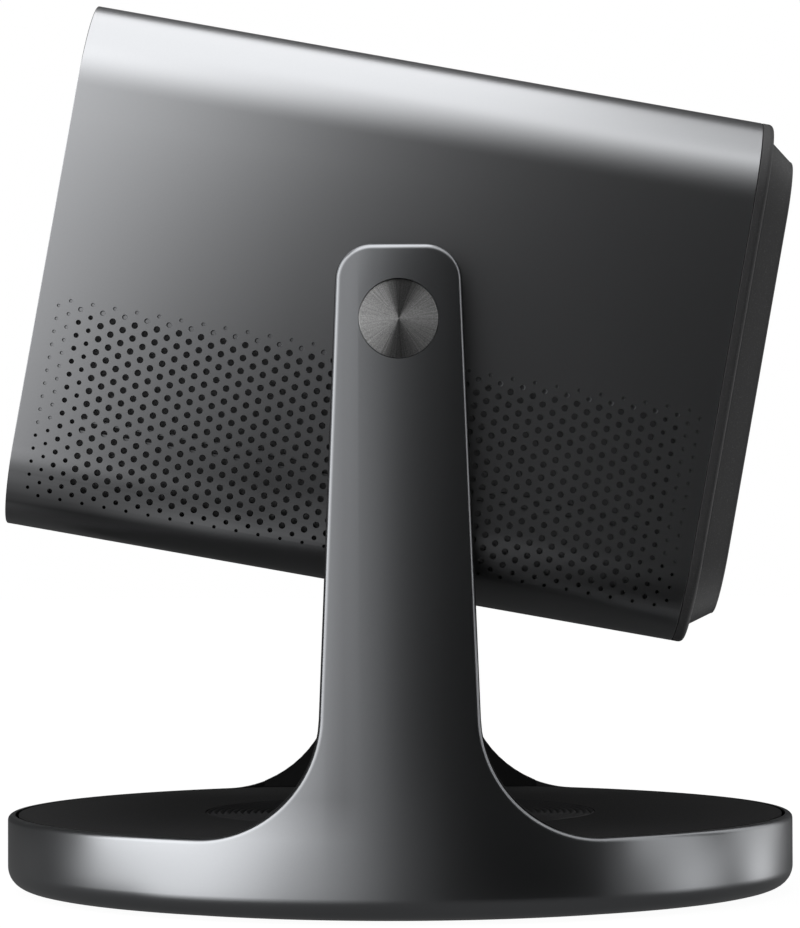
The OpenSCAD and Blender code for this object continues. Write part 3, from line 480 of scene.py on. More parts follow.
# Each row: name, colour, roughness, metal, then the grain's size, share of colour, share of roughness
# and depth, with sizes in mm
finishes = {
    # gunmetal and standMetal carry painted shade, darker zones set by the tables above
    "gunmetal": paintShadeZones(makeFinish("gunmetal", (0.330, 0.335, 0.346), 0.29, 1, 0.6, 0.01, 0.006, 0.0001),
                           sidePaintedShade),
    "stand_metal": paintShadeZones(makeFinish("standMetal", (0.281, 0.288, 0.300), 0.28, 1,
                                         0.6, 0.01, 0.006, 0.0001), armPaintedShade),
    "spun_metal": spunMetal(spunFace),
    "ring_metal": addRings(makeFinish("ringMetal", (0.25, 0.255, 0.265), 0.28, 1, 0.3, 0.05),
                           0.3, 0.002, "X"),
    "rear_black": addSpecks(makeFinish("rearBlack", (0.020, 0.020, 0.021), 0.55, 0, 0.4, 0.3, 0.1, 0.03),
                            0.3, 0.38, (0.045, 0.045, 0.046)),
    "trim_black": makeFinish("trimBlack", (0.018, 0.018, 0.019), 0.5, 0, 0.4, 0.2, 0.08, 0.012),
    "gloss_black": makeFinish("glossBlack", (0.006, 0.006, 0.007), 0.14, 0, 3.0, 0.1, 0.01, 0.0001,
                              {"Coat Weight": 0.25, "Coat Roughness": 0.05}),
    "deck_black": makeFinish("deckBlack", (0.017, 0.017, 0.0175), 0.7, 0, 0.4, 0.25, 0.1, 0.015,
                             {"Specular IOR Level": 0.15}),
    "rib_black": makeFinish("ribBlack", (0.011, 0.011, 0.012), 0.55, 0, 0.4, 0.25, 0.1, 0.012),
    "liner_black": makeFinish("linerBlack", (0.006, 0.006, 0.0063), 0.62, 0, 0.4, 0.25, 0.1, 0.015,
                              {"Specular IOR Level": 0.15}),
    "key_black": makeFinish("keyBlack", (0.035, 0.035, 0.037), 0.4, 0, 0.3, 0.15, 0.06, 0.006),
    "rubber": makeFinish("rubber", (0.022, 0.022, 0.023), 0.85, 0, 0.6, 0.3, 0.1, 0.03),
    "nylon": makeFinish("nylon", (0.72, 0.72, 0.68), 0.45, 0, 0.8, 0.05, 0.05, 0.01,
                        {"Subsurface Weight": 0.1}),
    "lens_glass": makeFinish("lensGlass", (0.30, 0.34, 0.50), 0.03, 0, 8.0, 0.04, 0.01, 0.00001,
                             {"Transmission Weight": 0.92, "IOR": 1.52, "Coat Weight": 0.5,
                              "Coat Tint": (0.62, 0.56, 0.95, 1)}),
    "sensor_glass": makeFinish("sensorGlass", (0.03, 0.006, 0.010), 0.1, 0, 5.0, 0.1, 0.01, 0.0001,
                               {"Coat Weight": 0.8, "Coat Roughness": 0.03}),
    "steel": makeFinish("steel", (0.55, 0.56, 0.575), 0.3, 1, 0.3, 0.08, 0.06, 0.004),
    "dark_steel": makeFinish("darkSteel", (0.10, 0.10, 0.105), 0.42, 0.6, 0.5, 0.2, 0.08, 0.012),
    "iron": makeFinish("iron", (0.13, 0.13, 0.135), 0.6, 0.7, 0.9, 0.25, 0.1, 0.05),
    "cast_metal": makeFinish("castMetal", (0.46, 0.47, 0.48), 0.45, 0.9, 0.7, 0.12, 0.1, 0.03),
    "copper": makeFinish("copper", (0.72, 0.36, 0.22), 0.3, 1, 0.8, 0.12, 0.08, 0.006),
    "brass": makeFinish("brass", (0.70, 0.54, 0.26), 0.3, 1, 0.5, 0.1, 0.06, 0.005),
    "bronze": makeFinish("bronze", (0.56, 0.38, 0.2), 0.38, 1, 0.5, 0.15, 0.08, 0.01),
    "board_green": boardGreen(board),
    "mesh_grey": wovenScreen(weave),
}
print("finishes made:", len(finishes))


# Camera, at the photograph's place
photoView = {"place": (0.209, -1000.0, 93.79), "focalPixels": 3820.87, "tallPixels": 928, "sensor": 36,
             "pitch": 0.0165, "roll": -0.0029}


def makeCamera(view):
    camera = addObject("photoCamera", bpy.data.cameras.new("photoCamera"))
    camera.data.sensor_fit = "AUTO"
    camera.data.sensor_width = view["sensor"]
    camera.data.lens = view["focalPixels"] * view["sensor"] / view["tallPixels"]
    ahead = Vector((0, math.cos(view["pitch"]), math.sin(view["pitch"])))
    up = Vector((0, -math.sin(view["pitch"]), math.cos(view["pitch"])))
    right = Vector((1, 0, 0))
    rightRolled = right * math.cos(view["roll"]) + up * math.sin(view["roll"])
    upRolled = up * math.cos(view["roll"]) - right * math.sin(view["roll"])
    axes = Matrix((rightRolled, upRolled, -ahead)).transposed().to_4x4()
    camera.matrix_world = Matrix.Translation(Vector(view["place"]) * mm) @ axes
    bpy.context.scene.camera = camera


makeCamera(photoView)
print("camera placed")


# Metal skin of the stand: base wall and the two arms in one sheet. The cap holes are cut over a reach given
# as shares of the radius, and faces that look inwards more than facesIn are black
standSkin = {"wall": 2.0, "edgeRound": 1.3, "innerEase": 0.15, "baseRound": 5.4, "lipRadius": 94,
             "lipTop": 5.25, "armWidth": 30.7, "armTaper": 2.3, "cornerRadius": 8.5, "filletRadius": 30,
             "roundSteps": 7, "baseSteps": 10, "filletSteps": 26, "cornerSteps": 14, "armSteps": 12,
             "topSteps": 6, "rimStep": 2.5, "capHole": 9.5, "capSides": 96, "capReach": (0.9, 1.2),
             "facesIn": -0.6}


def armHalf(skin, rim, top):  # right half of an arm's outline, from the rim up to the middle of its top
    lean = math.radians(skin["armTaper"])
    slope = math.tan(lean)
    cosLean = math.cos(lean)
    sweep = math.pi / 2 - lean
    centreHeight = pivot.z / mm

    def edgeAt(z):
        return skin["armWidth"] / 2 + (centreHeight - z) * slope

    filletZ = rim + skin["filletRadius"]
    filletX = edgeAt(filletZ) + skin["filletRadius"] / cosLean
    cornerZ = top - skin["cornerRadius"]
    cornerX = edgeAt(cornerZ) - skin["cornerRadius"] / cosLean
    half = arcPoints(filletX, filletZ, skin["filletRadius"], math.radians(270), -sweep, skin["filletSteps"])
    corner = arcPoints(cornerX, cornerZ, skin["cornerRadius"], lean, sweep, skin["cornerSteps"])
    start = Vector(half[-1])
    for k in range(1, skin["armSteps"]):
        half.append(tuple(start.lerp(Vector(corner[0]), k / skin["armSteps"])))
    half += corner
    for k in range(1, skin["topSteps"]):
        half.append((cornerX * (1 - k / skin["topSteps"]), top))
    return half


def skinOutline(skin, radius, rim, top):  # the sheet's free edge, once round the outer cylinder
    half = armHalf(skin, rim, top)
    across = [(-x, z) for x, z in half] + [(0, top)] + [(x, z) for x, z in reversed(half)]
    rimStart = math.asin(across[-1][0] / radius)
    rimSpan = math.pi - 2 * rimStart
    rimCount = round(math.degrees(rimSpan) / skin["rimStep"])
    outline = []
    for side in (0, math.pi):
        outline += [(side + math.asin(x / radius), z) for x, z in across]
        outline += [(side + rimStart + rimSpan * k / rimCount, rim) for k in range(1, rimCount)]
    return outline


def makeStandSkin(skin):
    low, high = plainBox("stand_shell")
    radius = high.x
    rim = plainBox("deck_cover")[1].z
    edge = skin["edgeRound"]
    base = skin["baseRound"]

    def onCylinder(turn, r, z):
        return Vector((r * math.sin(turn), -r * math.cos(turn), z))

    outline = skinOutline(skin, radius, rim, high.z)
    columns = []  # each one a section through the sheet, closed on itself
    for j, (turn, z) in enumerate(outline):
        point = onCylinder(turn, radius, z)
        turnBefore, zBefore = outline[j - 1]
        turnAfter, zAfter = outline[(j + 1) % len(outline)]
        chord = onCylinder(turnAfter, radius, zAfter) - onCylinder(turnBefore, radius, zBefore)
        outward = onCylinder(turn, 1, 0)
        inward = chord.cross(outward).normalized()
        centre = point + (inward - outward) * edge
        column = [centre + (outward * math.cos(roll) - inward * math.sin(roll)) * edge
                  for roll in quarterTurns(skin["roundSteps"])]
        innerEdge = point - outward * skin["wall"]
        column += [innerEdge + way * skin["innerEase"] for way in (outward, inward)]
        foot = math.atan2(column[0].x, -column[0].y)
        column[0] = onCylinder(foot, radius, column[0].z)
        column += [onCylinder(foot, radius - skin["wall"], skin["lipTop"]),
                   onCylinder(foot, skin["lipRadius"], skin["lipTop"]),
                   onCylinder(foot, skin["lipRadius"], low.z)]
        for roll in quarterTurns(skin["baseSteps"]):
            r = radius - base + base * math.sin(roll)
            column.append(onCylinder(foot, r, low.z + base - base * math.cos(roll)))
        columns.append([spot * mm for spot in column])
    piece = meshFromRings("stand_skin", columns, joinEnds=True)
    pegs = []
    for side in (-1, 1):
        pegs.append([pivotCircle(skin["capHole"], side * radius * share, skin["capSides"])
                     for share in skin["capReach"]])
    cutAway(piece, pegsMesh("capHoles", pegs))
    dress(piece, finishes["stand_metal"], "stand_shell")
    piece.data.materials.append(finishes["liner_black"])
    for polygon in piece.data.polygons:  # the sheet is black inside
        outward = Vector((polygon.center.x, polygon.center.y, 0)).normalized()
        if polygon.normal.dot(outward) < skin["facesIn"]:
            polygon.material_index = 1


makeStandSkin(standSkin)
print("stand skin made")


# Perforated metal sleeve of the head; end columns and end rows have smaller holes, some of them blind
sleeve = {"cornerRadius": 21, "wall": 2, "edgeChamfer": 0.15, "cornerSteps": 30,
          "pitch": 3.14, "columnPitch": 2.675, "columns": 59, "tallColumn": 16,
          "fieldTop": 8.9, "fieldBack": 0.6, "hole": 1.6, "endHoles": (0.85, 0.9, 1.25, 1.15),
          "tallTop": 0.95, "shortTop": 1.3, "tallLow": 0.85, "shortLow": 1.2,
          "dimpleDepth": 0.8, "dimplePoint": 0.7, "dimpleOver": 0.5,
          "blindColumns": 2, "blindAbove": (-39.5, -45.8), "holeSides": 16, "cutReach": 5,
          "bossRadius": 12, "bossRoom": 2, "bossSides": 64}


def sleeveHoles(size, low, high):
    def peg(a, w, diameters, ys, sides=size["holeSides"]):
        return tuple([inHead(a + x, y, w + z) for x, z in circlePoints(diameter / 2, sides)]
                     for diameter, y in zip(diameters, ys))

    def wallAt(w):  # how far out the sleeve's side stands at this height
        below = low[2] + size["cornerRadius"] - w
        if below <= 0:
            return high[1]
        return high[1] - size["cornerRadius"] + math.sqrt(size["cornerRadius"] ** 2 - below ** 2)

    reach = high[1] + size["cutReach"]
    pegs = [peg(0, 0, [2 * size["bossRadius"]] * 2, (-reach, reach), size["bossSides"])]
    middle = (low[0] + high[0]) / 2 + size["fieldBack"]
    last = size["columns"] - 1
    for column in range(size["columns"]):
        a = middle + (column - last / 2) * size["columnPitch"]
        tall = column % 2
        rows = size["tallColumn"] - (1 - tall)
        fromEnd = min(column, last - column)
        plain = min((size["hole"],) + size["endHoles"][fromEnd:fromEnd + 1])
        blindAbove = size["blindAbove"][0 if column < last / 2 else 1]
        for row in range(rows):
            w = -size["fieldTop"] - (row + (1 - tall) / 2) * size["pitch"]
            if math.hypot(a, w) < size["bossRadius"] + size["bossRoom"]:
                continue
            diameter = plain
            if row == 0:
                diameter = min(plain, size["tallTop"] if tall else size["shortTop"])
            if row == rows - 1:
                diameter = min(plain, size["tallLow"] if tall else size["shortLow"])
            if row == 0 or (fromEnd < size["blindColumns"] and w > blindAbove):
                surface = wallAt(w)
                floor = surface - size["dimpleDepth"]
                over = size["dimpleOver"]
                wide = diameter + (1 - size["dimplePoint"]) * diameter * over / size["dimpleDepth"]
                ends = (wide, diameter * size["dimplePoint"])
                pegs.append(peg(a, w, ends, (-surface - over, -floor)))
                pegs.append(peg(a, w, ends, (surface + over, floor)))
            else:
                pegs.append(peg(a, w, (diameter, diameter), (-reach, reach)))
    return pegsMesh("sleeveHoles", pegs)


def makeSleeve(size):
    box = headBox("casing")
    low, high = box

    def ring(a, inset):
        return headLoop(a, box, inset, size["cornerRadius"] - inset, size["cornerSteps"])

    ease = size["edgeChamfer"]
    rings = [ring(low[0], ease), ring(low[0] + ease, 0), ring(high[0] - ease, 0), ring(high[0], ease),
             ring(high[0], size["wall"]), ring(low[0], size["wall"])]
    piece = meshFromRings("perforated_sleeve", rings, joinEnds=True)
    cutAway(piece, sleeveHoles(size, low, high))
    dress(piece, finishes["gunmetal"], "casing")


makeSleeve(sleeve)
print("sleeve made")


# Dust screens behind the holes, each with the two metal ribs that stiffen it (height on the head, width)
dustScreen = {"ribs": ((-36.4, 1.05), (-39.2, 0.9)), "ribDepth": 0.5, "ribEnds": 4, "ease": 0.12,
              "soft": 0.1, "softSteps": 1, "endBand": 1, "reach": 3.5}


def makeScreen(size, side, node):
    piece = softCopy(node, "dust_screen_" + node.split("_")[1], size["soft"], size["softSteps"])
    low, high = headBox(node)
    face = max(abs(low[1]), abs(high[1]))
    middle = (low[0] + high[0]) / 2
    for vertex in piece.data.vertices:  # both ends carried on, so that no row of holes looks past the cloth
        along = (vertex.co - pivot).dot(alongHead) / mm
        if abs(along - middle) > (high[0] - low[0]) / 2 - size["endBand"]:
            vertex.co += alongHead * math.copysign(size["reach"], along - middle) * mm
    shape = bmesh.new()
    shape.from_mesh(piece.data)
    ribStart = len(shape.faces)
    top = face + size["ribDepth"]
    steps = ((0, face), (0, top - size["ease"]), (size["ease"], top))
    for up, height in size["ribs"]:
        loop = []
        for inset, y in steps:
            half = height / 2 - inset
            left = low[0] + size["ribEnds"] + inset
            right = high[0] - size["ribEnds"] - inset
            loop.append([inHead(a, side * y, up + w)
                         for a, w in ((left, -half), (right, -half), (right, half), (left, half))])
        rib = meshFromRings("rib", loop, capEnds=True)
        shape.from_mesh(rib.data)
        bpy.data.objects.remove(rib)
    ribFaces = list(range(ribStart, len(shape.faces)))
    shape.to_mesh(piece.data)
    shape.free()
    dress(piece, finishes["mesh_grey"], node)
    piece.data.materials.append(finishes["gunmetal"])
    for index in ribFaces:
        piece.data.polygons[index].material_index = 1


makeScreen(dustScreen, -1, "mesh_left")
makeScreen(dustScreen, 1, "mesh_right")
print("dust screens made")


# Turned caps over the tilt pivots
pivotCap = {"radius": 9.4, "flange": 1, "crown": 0.3, "chamfer": 0.12, "domed": 0.98, "domeRings": 14,
            "sides": 128}


def makeCap(size, side, node):
    low, high = plainBox(node)
    inner, outer = sorted((abs(low.y), abs(high.y)))
    step = inner + size["flange"]
    flangeRadius = (high.x - low.x) / 2
    profile = [(flangeRadius, inner), (flangeRadius, step), (size["radius"], step),
               (size["radius"], outer - size["crown"] - size["chamfer"])]
    for k in range(size["domeRings"] + 1):
        r = (size["radius"] - size["chamfer"]) * (1 - size["domed"] * k / size["domeRings"])
        profile.append((r, outer - size["crown"] * (r / size["radius"]) ** 2))
    rings = [pivotCircle(r, side * y, size["sides"]) for r, y in profile]
    piece = meshFromRings("turned_" + node, rings, capEnds=True)
    dress(piece, finishes["spun_metal"], node, sharp=25)


makeCap(pivotCap, -1, "pivot_cap_left")
makeCap(pivotCap, 1, "pivot_cap_right")


# Front element of the lens, both faces domed
frontLens = {"crown": 3, "ease": 0.1, "flat": 0.01, "rings": 24, "sides": 96}


def makeLens(size, node):
    low, high = headBox(node)
    middle = headMiddle(node)
    radius = (high[1] - low[1]) / 2 - size["ease"]
    domed = 1 - size["flat"]
    shares = [size["flat"] + domed * k / size["rings"] for k in range(size["rings"] + 1)]
    profile = [(radius * share, low[0] + size["crown"] * share ** 2) for share in shares]
    profile += [(radius * share, high[0] - size["crown"] * share ** 2) for share in reversed(shares)]
    rings = [headCircle(a, middle, r, size["sides"]) for r, a in profile]
    dress(meshFromRings("front_element", rings, capEnds=True), finishes["lens_glass"], node)


makeLens(frontLens, "lens_front")


# Ribbed disc in the middle of the deck
ribbedDisc = {"pitch": 1.7, "ribHeight": 0.6, "ribPower": 0.7, "stepsPerRib": 8, "flatCentre": 3,
              "edge": 0.3, "sides": 160}


def makeRibbedDisc(size):
    low, high = plainBox("ribbed_disc")
    radius = high.x
    steps = int((radius - size["edge"] - size["flatCentre"]) / size["pitch"]) * size["stepsPerRib"]
    profile = [(size["flatCentre"], low.z), (radius, low.z), (radius, high.z - size["edge"])]
    for k in range(steps + 1):
        r = radius - size["edge"] - k * size["pitch"] / size["stepsPerRib"]
        wave = 0.5 + 0.5 * math.cos(2 * math.pi * k / size["stepsPerRib"])
        profile.append((r, high.z - size["ribHeight"] * (1 - wave ** size["ribPower"])))
    rings = [[Vector((x, y, z)) * mm for x, y in circlePoints(r, size["sides"])] for r, z in profile]
    piece = meshFromRings("ribbed_plate", rings, capEnds=True)
    dress(piece, finishes["rib_black"], "ribbed_disc", sharp=60)


makeRibbedDisc(ribbedDisc)
print("caps, lens and ribbed disc made")


# Black frame between the sleeve and the rear cover
rearFrame = {"cornerRadius": 21, "edgeRound": 1.2, "roundSteps": 6, "seamEase": 0.1, "seam": 0.12,
             "spigotInset": 2.2, "spigotWall": 2, "spigotFlare": 2, "groove": 0.4, "coverCorner": 17.5,
             "innerEase": 0.35, "cornerSteps": 24}


def makeRearFrame(size):
    box = headBox("rear_bezel")
    low, high = box
    coverBox = headBox("rear_cover")
    front = headBox("casing")[1][0] + size["seam"]

    def outer(a, inset):
        return headLoop(a, box, inset, size["cornerRadius"] - inset, size["cornerSteps"])

    def mouth(a, grow):
        return headLoop(a, coverBox, -grow, size["coverCorner"] + grow, size["cornerSteps"])

    rings = [outer(front, size["seamEase"]), outer(front + size["seamEase"], 0)]
    for roll in quarterTurns(size["roundSteps"]):
        rings.append(outer(high[0] - size["edgeRound"] * (1 - math.sin(roll)),
                           size["edgeRound"] * (1 - math.cos(roll))))
    rings += [mouth(high[0], size["groove"] + size["innerEase"]),
              mouth(high[0] - size["innerEase"], size["groove"]),
              mouth(coverBox[0][0], size["groove"]),
              outer(low[0], size["spigotInset"] + size["spigotWall"] + size["spigotFlare"]),
              outer(low[0], size["spigotInset"]),
              outer(front, size["spigotInset"])]
    piece = meshFromRings("rear_frame", rings, joinEnds=True)
    dress(piece, finishes["rear_black"], "rear_bezel")


makeRearFrame(rearFrame)


# Rear cover: chamfered all round, with vents, port window and button hole
rearCover = {"cornerRadius": 17.5, "chamfer": 3.8, "cornerShare": 0.6, "edge": 0.7, "edgeSpread": 1.2,
             "edgeSteps": 4, "lift": 0.3, "wall": 2.4, "rim": 5.4, "cornerSteps": 20,
             "soft": 0.25, "softSteps": 2, "softAngle": 50, "cutIn": 1, "cutOut": 2,
             "vents": 9, "ventPitch": 5, "ventBelowTop": 52.7, "ventIn": (12.5, 48.5), "ventHeight": 2.2,
             "portIn": 56.5, "portAboveLow": 21.2, "port": (84, 16), "portCorner": 2, "portSteps": 6,
             "buttonHole": 6.25, "buttonSides": 64}


def slotRing(a, y0, y1, w, height, steps=8):  # a slot with round ends
    r = height / 2
    spots = []
    for y, start in ((y1 - r, -90), (y0 + r, 90)):
        for k in range(steps + 1):
            turn = math.radians(start + 180 * k / steps)
            spots.append(inHead(a, y + r * math.cos(turn), w + r * math.sin(turn)))
    return spots


def makeRearCover(size):
    box = headBox("rear_cover")
    low, high = box
    face = high[0]
    frameFace = headBox("rear_bezel")[1][0]
    start = frameFace + size["lift"]
    bend = face - size["edge"]

    def insetAt(a):  # chamfer, then the small round into the face
        if a <= bend:
            return size["chamfer"] * max(a - start, 0) / (bend - start)
        turn = math.asin(min((a - bend) / size["edge"], 1))
        return size["chamfer"] + size["edge"] * (1 - math.cos(turn)) * size["edgeSpread"]

    def outline(a, inset):
        radius = size["cornerRadius"] - size["cornerShare"] * inset
        return headLoop(a, box, inset, radius, size["cornerSteps"])

    stops = [low[0], frameFace, start, bend]
    stops += [bend + size["edge"] * math.sin(roll) for roll in quarterTurns(size["edgeSteps"])[1:]]
    rings = [outline(face - size["wall"], size["rim"]), outline(low[0], size["rim"])]
    rings += [outline(a, insetAt(a)) for a in stops]
    piece = meshFromRings("vented_rear_cover", rings, capEnds=True)
    pegs = []
    reach = (face - size["wall"] - size["cutIn"], face + size["cutOut"])
    for k in range(size["vents"]):
        w = high[2] - size["ventBelowTop"] + k * size["ventPitch"]
        span = (low[1] + size["ventIn"][0], high[1] - size["ventIn"][1])
        pegs.append(tuple(slotRing(a, *span, w, size["ventHeight"]) for a in reach))
    portY = low[1] + size["portIn"]
    portW = low[2] + size["portAboveLow"]
    halfWide, halfTall = [side / 2 for side in size["port"]]
    window = roundedLoop(halfWide, -halfTall, halfTall, size["portCorner"], size["portSteps"])
    pegs.append(tuple([inHead(a, portY + y, portW + w) for y, w in window] for a in reach))
    button = headMiddle("power_button")
    pegs.append(tuple(headCircle(a, button, size["buttonHole"], size["buttonSides"]) for a in reach))
    cutAway(piece, pegsMesh("coverCuts", pegs))
    softenEdges(piece, size["soft"], size["softSteps"], size["softAngle"])
    evenNormals(dress(piece, finishes["rear_black"], "rear_cover"))


makeRearCover(rearCover)
print("rear made")


# Pieces that keep the node's shape and only get eased edges: edge width in mm, steps round the edge
easedPieces = {
    "deck_cover": ("deck", 0.2, 2),
    "arm_liner_left": ("liner_left", 0.5, 3),
    "arm_liner_right": ("liner_right", 0.5, 3),
    "foot_plate": ("foot_disc", 0.4, 2),
    "foot_ring": ("foot_rubber", 0.3, 2),
    "front_frame": ("front_rim", 0.3, 2),
    "front_panel": ("front_glass", 0.4, 3),
    "lens_ring": ("lens_trim", 0.3, 3),
    "sensor_window": ("sensor_pill", 0.15, 2),
    "port_panel": ("port_plate", 0.2, 2),
    "signal_sockets": ("signal_shells", 0.12, 2),
    "audio_socket": ("audio_jack", 0.2, 2),
    "dc_inlet": ("power_jack", 0.2, 2),
    "power_button": ("power_key_cap", 0.5, 3),
    "lens_barrel": ("barrel", 0.2, 2),
}
deckRim = {"band": 1, "reach": 0.4}  # the deck's outer band comes up to the wall, in mm

for node, (name, width, steps) in easedPieces.items():
    evenNormals(dress(softCopy(node, name, width, steps), finishes[slotOf[node]], node))
deckEdge = plainBox("deck_cover")[1].x
for vertex in bpy.data.objects["deck"].data.vertices:
    reach = vertex.co.xy.length / mm
    if reach > deckEdge - deckRim["band"]:
        vertex.co.xy *= (reach + deckRim["reach"]) / reach
print("eased pieces made:", len(easedPieces))

# Everything else keeps its solid and takes its finish
replaced = {node for piece in bpy.data.objects for node in piece.get("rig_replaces", [])}
for node, solid in nodes.items():
    if node in replaced:
        continue
    solid.data.materials.clear()
    solid.data.materials.append(finishes[slotOf[node]])
print("solids that stay:", len(nodes) - len(replaced))


# Studio: pale floor, white surround, two soft boxes, and cards, light and dark, that only reflections see
studio = {"floorSize": 8.0, "floorColor": (0.82, 0.82, 0.82), "floorRough": 0.9, "floorGlow": 0.9,
          "glow": 1.07, "fill": 0.45}


def backdropShare(tree, share):  # share for rays that should see plain white
    path = tree.nodes.new("ShaderNodeLightPath")
    total = path.outputs["Is Camera Ray"]
    for kind in ("Is Glossy Ray", "Is Transmission Ray"):
        total = mathNode(tree, "MAXIMUM", total, path.outputs[kind])
    return mathNode(tree, "MULTIPLY", total, share)


def mixShaders(tree, share, first, second):
    mix = tree.nodes.new("ShaderNodeMixShader")
    for source, socket in zip((share, first.outputs[0], second.outputs[0]), mix.inputs):
        tree.links.new(source, socket)
    return mix


def makeFloor(size):
    half = size["floorSize"] / 2
    corners = [(-half, -half, 0), (half, -half, 0), (half, half, 0), (-half, half, 0)]
    mesh = bpy.data.meshes.new("floor")
    mesh.from_pydata(corners, [], [(0, 1, 2, 3)])
    floor = addObject("floor", mesh)
    paper = bpy.data.materials.new("whitePaper")
    paper.use_nodes = True
    tree = paper.node_tree
    sheet = tree.nodes["Principled BSDF"]
    sheet.inputs["Base Color"].default_value = size["floorColor"] + (1,)
    sheet.inputs["Roughness"].default_value = size["floorRough"]
    glow = addNode(tree, "ShaderNodeEmission", Strength=size["glow"])
    mix = mixShaders(tree, backdropShare(tree, size["floorGlow"]), sheet, glow)
    tree.links.new(mix.outputs[0], tree.nodes["Material Output"].inputs["Surface"])
    mesh.materials.append(paper)


def makeWorld(size):
    world = bpy.data.worlds.new("surround")
    bpy.context.scene.world = world
    world.use_nodes = True
    world.cycles.sampling_method = "NONE"
    tree = world.node_tree
    seen = tree.nodes["Background"]
    seen.inputs["Color"].default_value = (1, 1, 1, 1)
    fill = addNode(tree, "ShaderNodeBackground", Color=(1, 1, 1, 1), Strength=size["fill"])
    mix = mixShaders(tree, backdropShare(tree, 1.0), fill, seen)
    tree.links.new(mix.outputs[0], tree.nodes["World Output"].inputs["Surface"])


# azimuth 0 is straight in front of the near side, and grows towards the rear of the head
softBoxes = {"left": {"azimuth": -71, "distance": 700, "height": 350, "size": (560, 700), "radiance": 2.2},
             "top": {"place": (-120, -288, 800), "size": (600, 1375), "radiance": 1.6}}
# glow is radiance by azimuth, or by bearing on the round wall (its radius, the camera's distance) that
# mirrors the card; edge is what it melts into between fadeFrom and fadeTo
cards = {"front": {"distance": 300,
                   "rows": (-20, 165, 190, 215, 240, 265, 290, 320, 350, 380, 410, 440, 480, 520, 560),
                   "glow": ((-50, 2.8), (-40, 2.4), (-30, 1.8), (-22, 1.25), (-17, 0.97), (-14, 0.77),
                            (-12, 0.62), (-8, 0.37), (-5, 0.2), (-2, 0.095), (2, 0.04), (6, 0.02),
                            (15, 0.02), (57, 0.02)),
                   "edge": ((-10, 2.9), (10, 1.8)), "fadeFrom": ((-10, 165), (10, 218)),
                   "fadeTo": ((-10, 410), (10, 540))},
         "right": {"distance": 560, "rows": (-20, 420), "glow": ((88, 0.05), (102, 0.05))},
         "behind": {"distance": 560, "rows": (-20, 1000), "glow": ((-228, 0.04), (-92, 0.04))},
         "foot": {"lift": 0.5, "rows": (93, 110), "glow": ((-180, 0.11), (180, 0.11))},
         "floor": {"lift": 0.5, "rows": (110, 116, 122, 128, 134, 140, 146, 152, 158, 180, 240, 360),
                   "span": (-180, 180), "mirroredBy": {"wall": 102, "eye": 1000},
                   "glow": ((-110, 0.06), (-68, 0.1), (-64, 0.17), (-60, 0.06), (-55, 0.1), (-52, 0.3),
                            (-49, 0.75), (-44, 1.6), (-36, 2.2), (-28, 2.2), (-22, 1.75), (-16, 1.02),
                            (-8, 0.56), (0, 0.16), (7, 0.04), (14, 0.015), (22, 0.015), (28, 0.03),
                            (36, 0.36), (44, 1.45), (49, 1.0), (53, 0.3), (57, 0.9), (60, 1.95),
                            (64, 1.45), (68, 0.3), (75, 0.06), (110, 0.06)),
                   "edge": ((0, 0.11),), "fadeTo": ((-40, 127), (-34, 108)),
                   "fadeFrom": ((-40, 151), (-34, 130))},
         "backFloor": {"lift": 0.5, "rows": (360, 560), "glow": ((-228, 0.06), (-92, 0.06))},
         "deck": {"lift": 22, "rows": (1, 90), "glow": ((-180, 0.05), (180, 0.05)), "fromAbove": True}}


def atAzimuth(azimuth, distance, z):
    turn = math.radians(azimuth)
    return Vector((math.sin(turn) * distance, -math.cos(turn) * distance, z)) * mm


def makeSoftBox(name, box):
    light = bpy.data.lights.new(name, "AREA")
    light.shape = "RECTANGLE"
    light.size = box["size"][0] * mm
    light.size_y = box["size"][1] * mm
    light.energy = box["radiance"] * math.pi * light.size * light.size_y
    lamp = addObject(name, light)
    if "place" in box:  # hangs level, facing down
        lamp.location = Vector(box["place"]) * mm
    else:
        place = atAzimuth(box["azimuth"], box["distance"], box["height"])
        facing = atAzimuth(box["azimuth"], -box["distance"], 0)
        aim = facing.to_track_quat("-Z", "Y").to_matrix().to_4x4()
        lamp.matrix_world = Matrix.Translation(place) @ aim
    lamp.visible_camera = False


def stopsAt(stops, angle):  # value between the listed angles
    for (start, low), (end, high) in zip(stops, stops[1:]):
        if angle <= end:
            return low + (high - low) * max(angle - start, 0) / (end - start)
    return stops[-1][1]


def mirrorBearing(mirror, azimuth, radius, rounds=16):  # where on the wall a spot of floor is mirrored
    wall = mirror["wall"]
    spot = math.radians(azimuth)
    bearing = spot / 2
    for _ in range(rounds):
        sight = math.atan2(wall * math.sin(bearing), mirror["eye"] - wall * math.cos(bearing))
        turn = math.asin(wall / radius * math.sin(bearing + sight))
        bearing = (spot - sight + turn) / 2
    return math.degrees(bearing)


def cardLevel(card, angle, row):  # radiance, melting into the card's edge where it has one
    level = stopsAt(card["glow"], angle)
    if "edge" not in card:
        return level
    start = stopsAt(card["fadeFrom"], angle)
    share = (row - start) / (stopsAt(card["fadeTo"], angle) - start)
    share = min(max(share, 0), 1)
    return level + (stopsAt(card["edge"], angle) - level) * share * share * (3 - 2 * share)


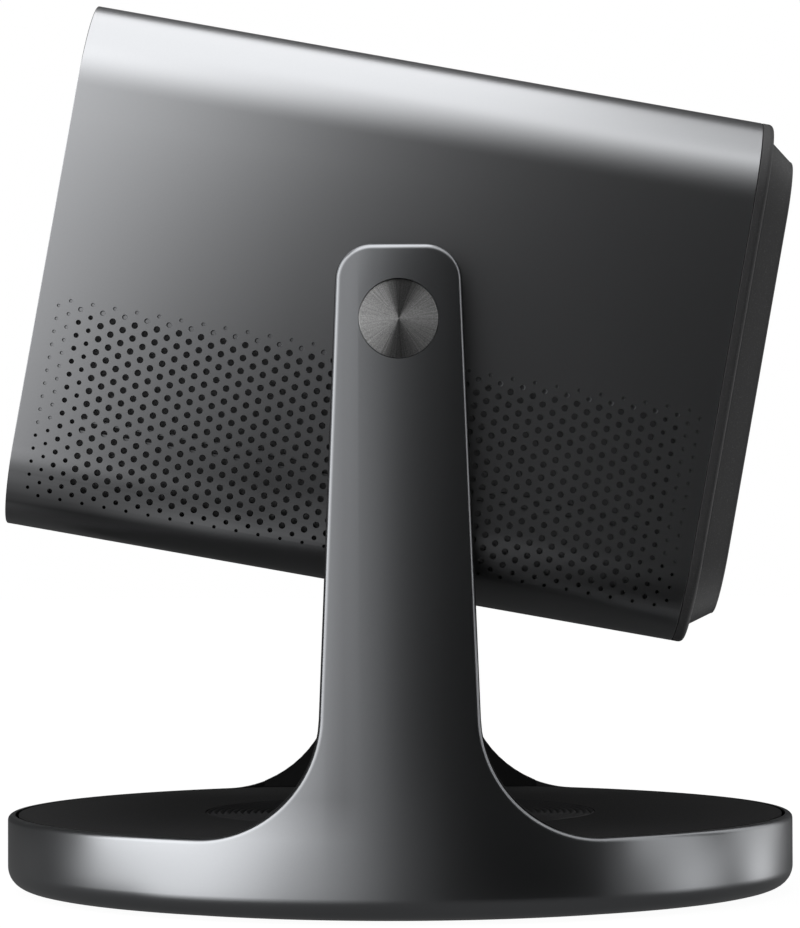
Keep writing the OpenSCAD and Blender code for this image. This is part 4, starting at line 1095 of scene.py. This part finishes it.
def cardMesh(name, card, steps=144):  # rows are heights of an upright card, or radii of one that lies flat
    first, last = card.get("span", (card["glow"][0][0], card["glow"][-1][0]))
    rows = card["rows"]
    points = []
    levels = []
    faces = []
    for k in range(steps + 1):
        azimuth = first + (last - first) * k / steps
        for row in rows:
            angle = azimuth
            if "mirroredBy" in card:
                angle = mirrorBearing(card["mirroredBy"], azimuth, row)
            levels.append(cardLevel(card, angle, row))
            points.append(atAzimuth(azimuth, row, card["lift"]) if "lift" in card
                          else atAzimuth(azimuth, card["distance"], row))
    for k in range(steps):
        for j in range(len(rows) - 1):
            corner = k * len(rows) + j
            faces.append((corner, corner + len(rows), corner + len(rows) + 1, corner + 1))
    mesh = bpy.data.meshes.new(name)
    mesh.from_pydata(points, [], faces)
    mesh.attributes.new("level", "FLOAT", "POINT").data.foreach_set("value", levels)
    return mesh


def makeCard(name, card):
    felt = bpy.data.materials.new(name)
    felt.use_nodes = True
    tree = felt.node_tree
    tree.nodes.remove(tree.nodes["Principled BSDF"])
    read = tree.nodes.new("ShaderNodeAttribute")
    read.attribute_name = "level"
    glow = tree.nodes.new("ShaderNodeEmission")
    tree.links.new(read.outputs["Fac"], glow.inputs["Strength"])
    surface = glow
    if "fromAbove" in card:  # seen by what stands over it, and clear to what lies lower
        side = tree.nodes.new("ShaderNodeNewGeometry")
        clear = tree.nodes.new("ShaderNodeBsdfTransparent")
        surface = mixShaders(tree, side.outputs["Backfacing"], clear, glow)
    tree.links.new(surface.outputs[0], tree.nodes["Material Output"].inputs["Surface"])
    felt.cycles.emission_sampling = "NONE"
    piece = addObject(name, cardMesh(name, card))
    piece.data.materials.append(felt)
    piece.visible_camera = False
    piece.visible_diffuse = False
    piece.visible_transmission = False
    piece.visible_shadow = False


makeFloor(studio)
makeWorld(studio)
for name, box in softBoxes.items():
    makeSoftBox(name + "SoftBox", box)
for name, card in cards.items():
    makeCard(name + "Card", card)
bpy.context.scene.view_settings.view_transform = "Standard"
print("studio set")
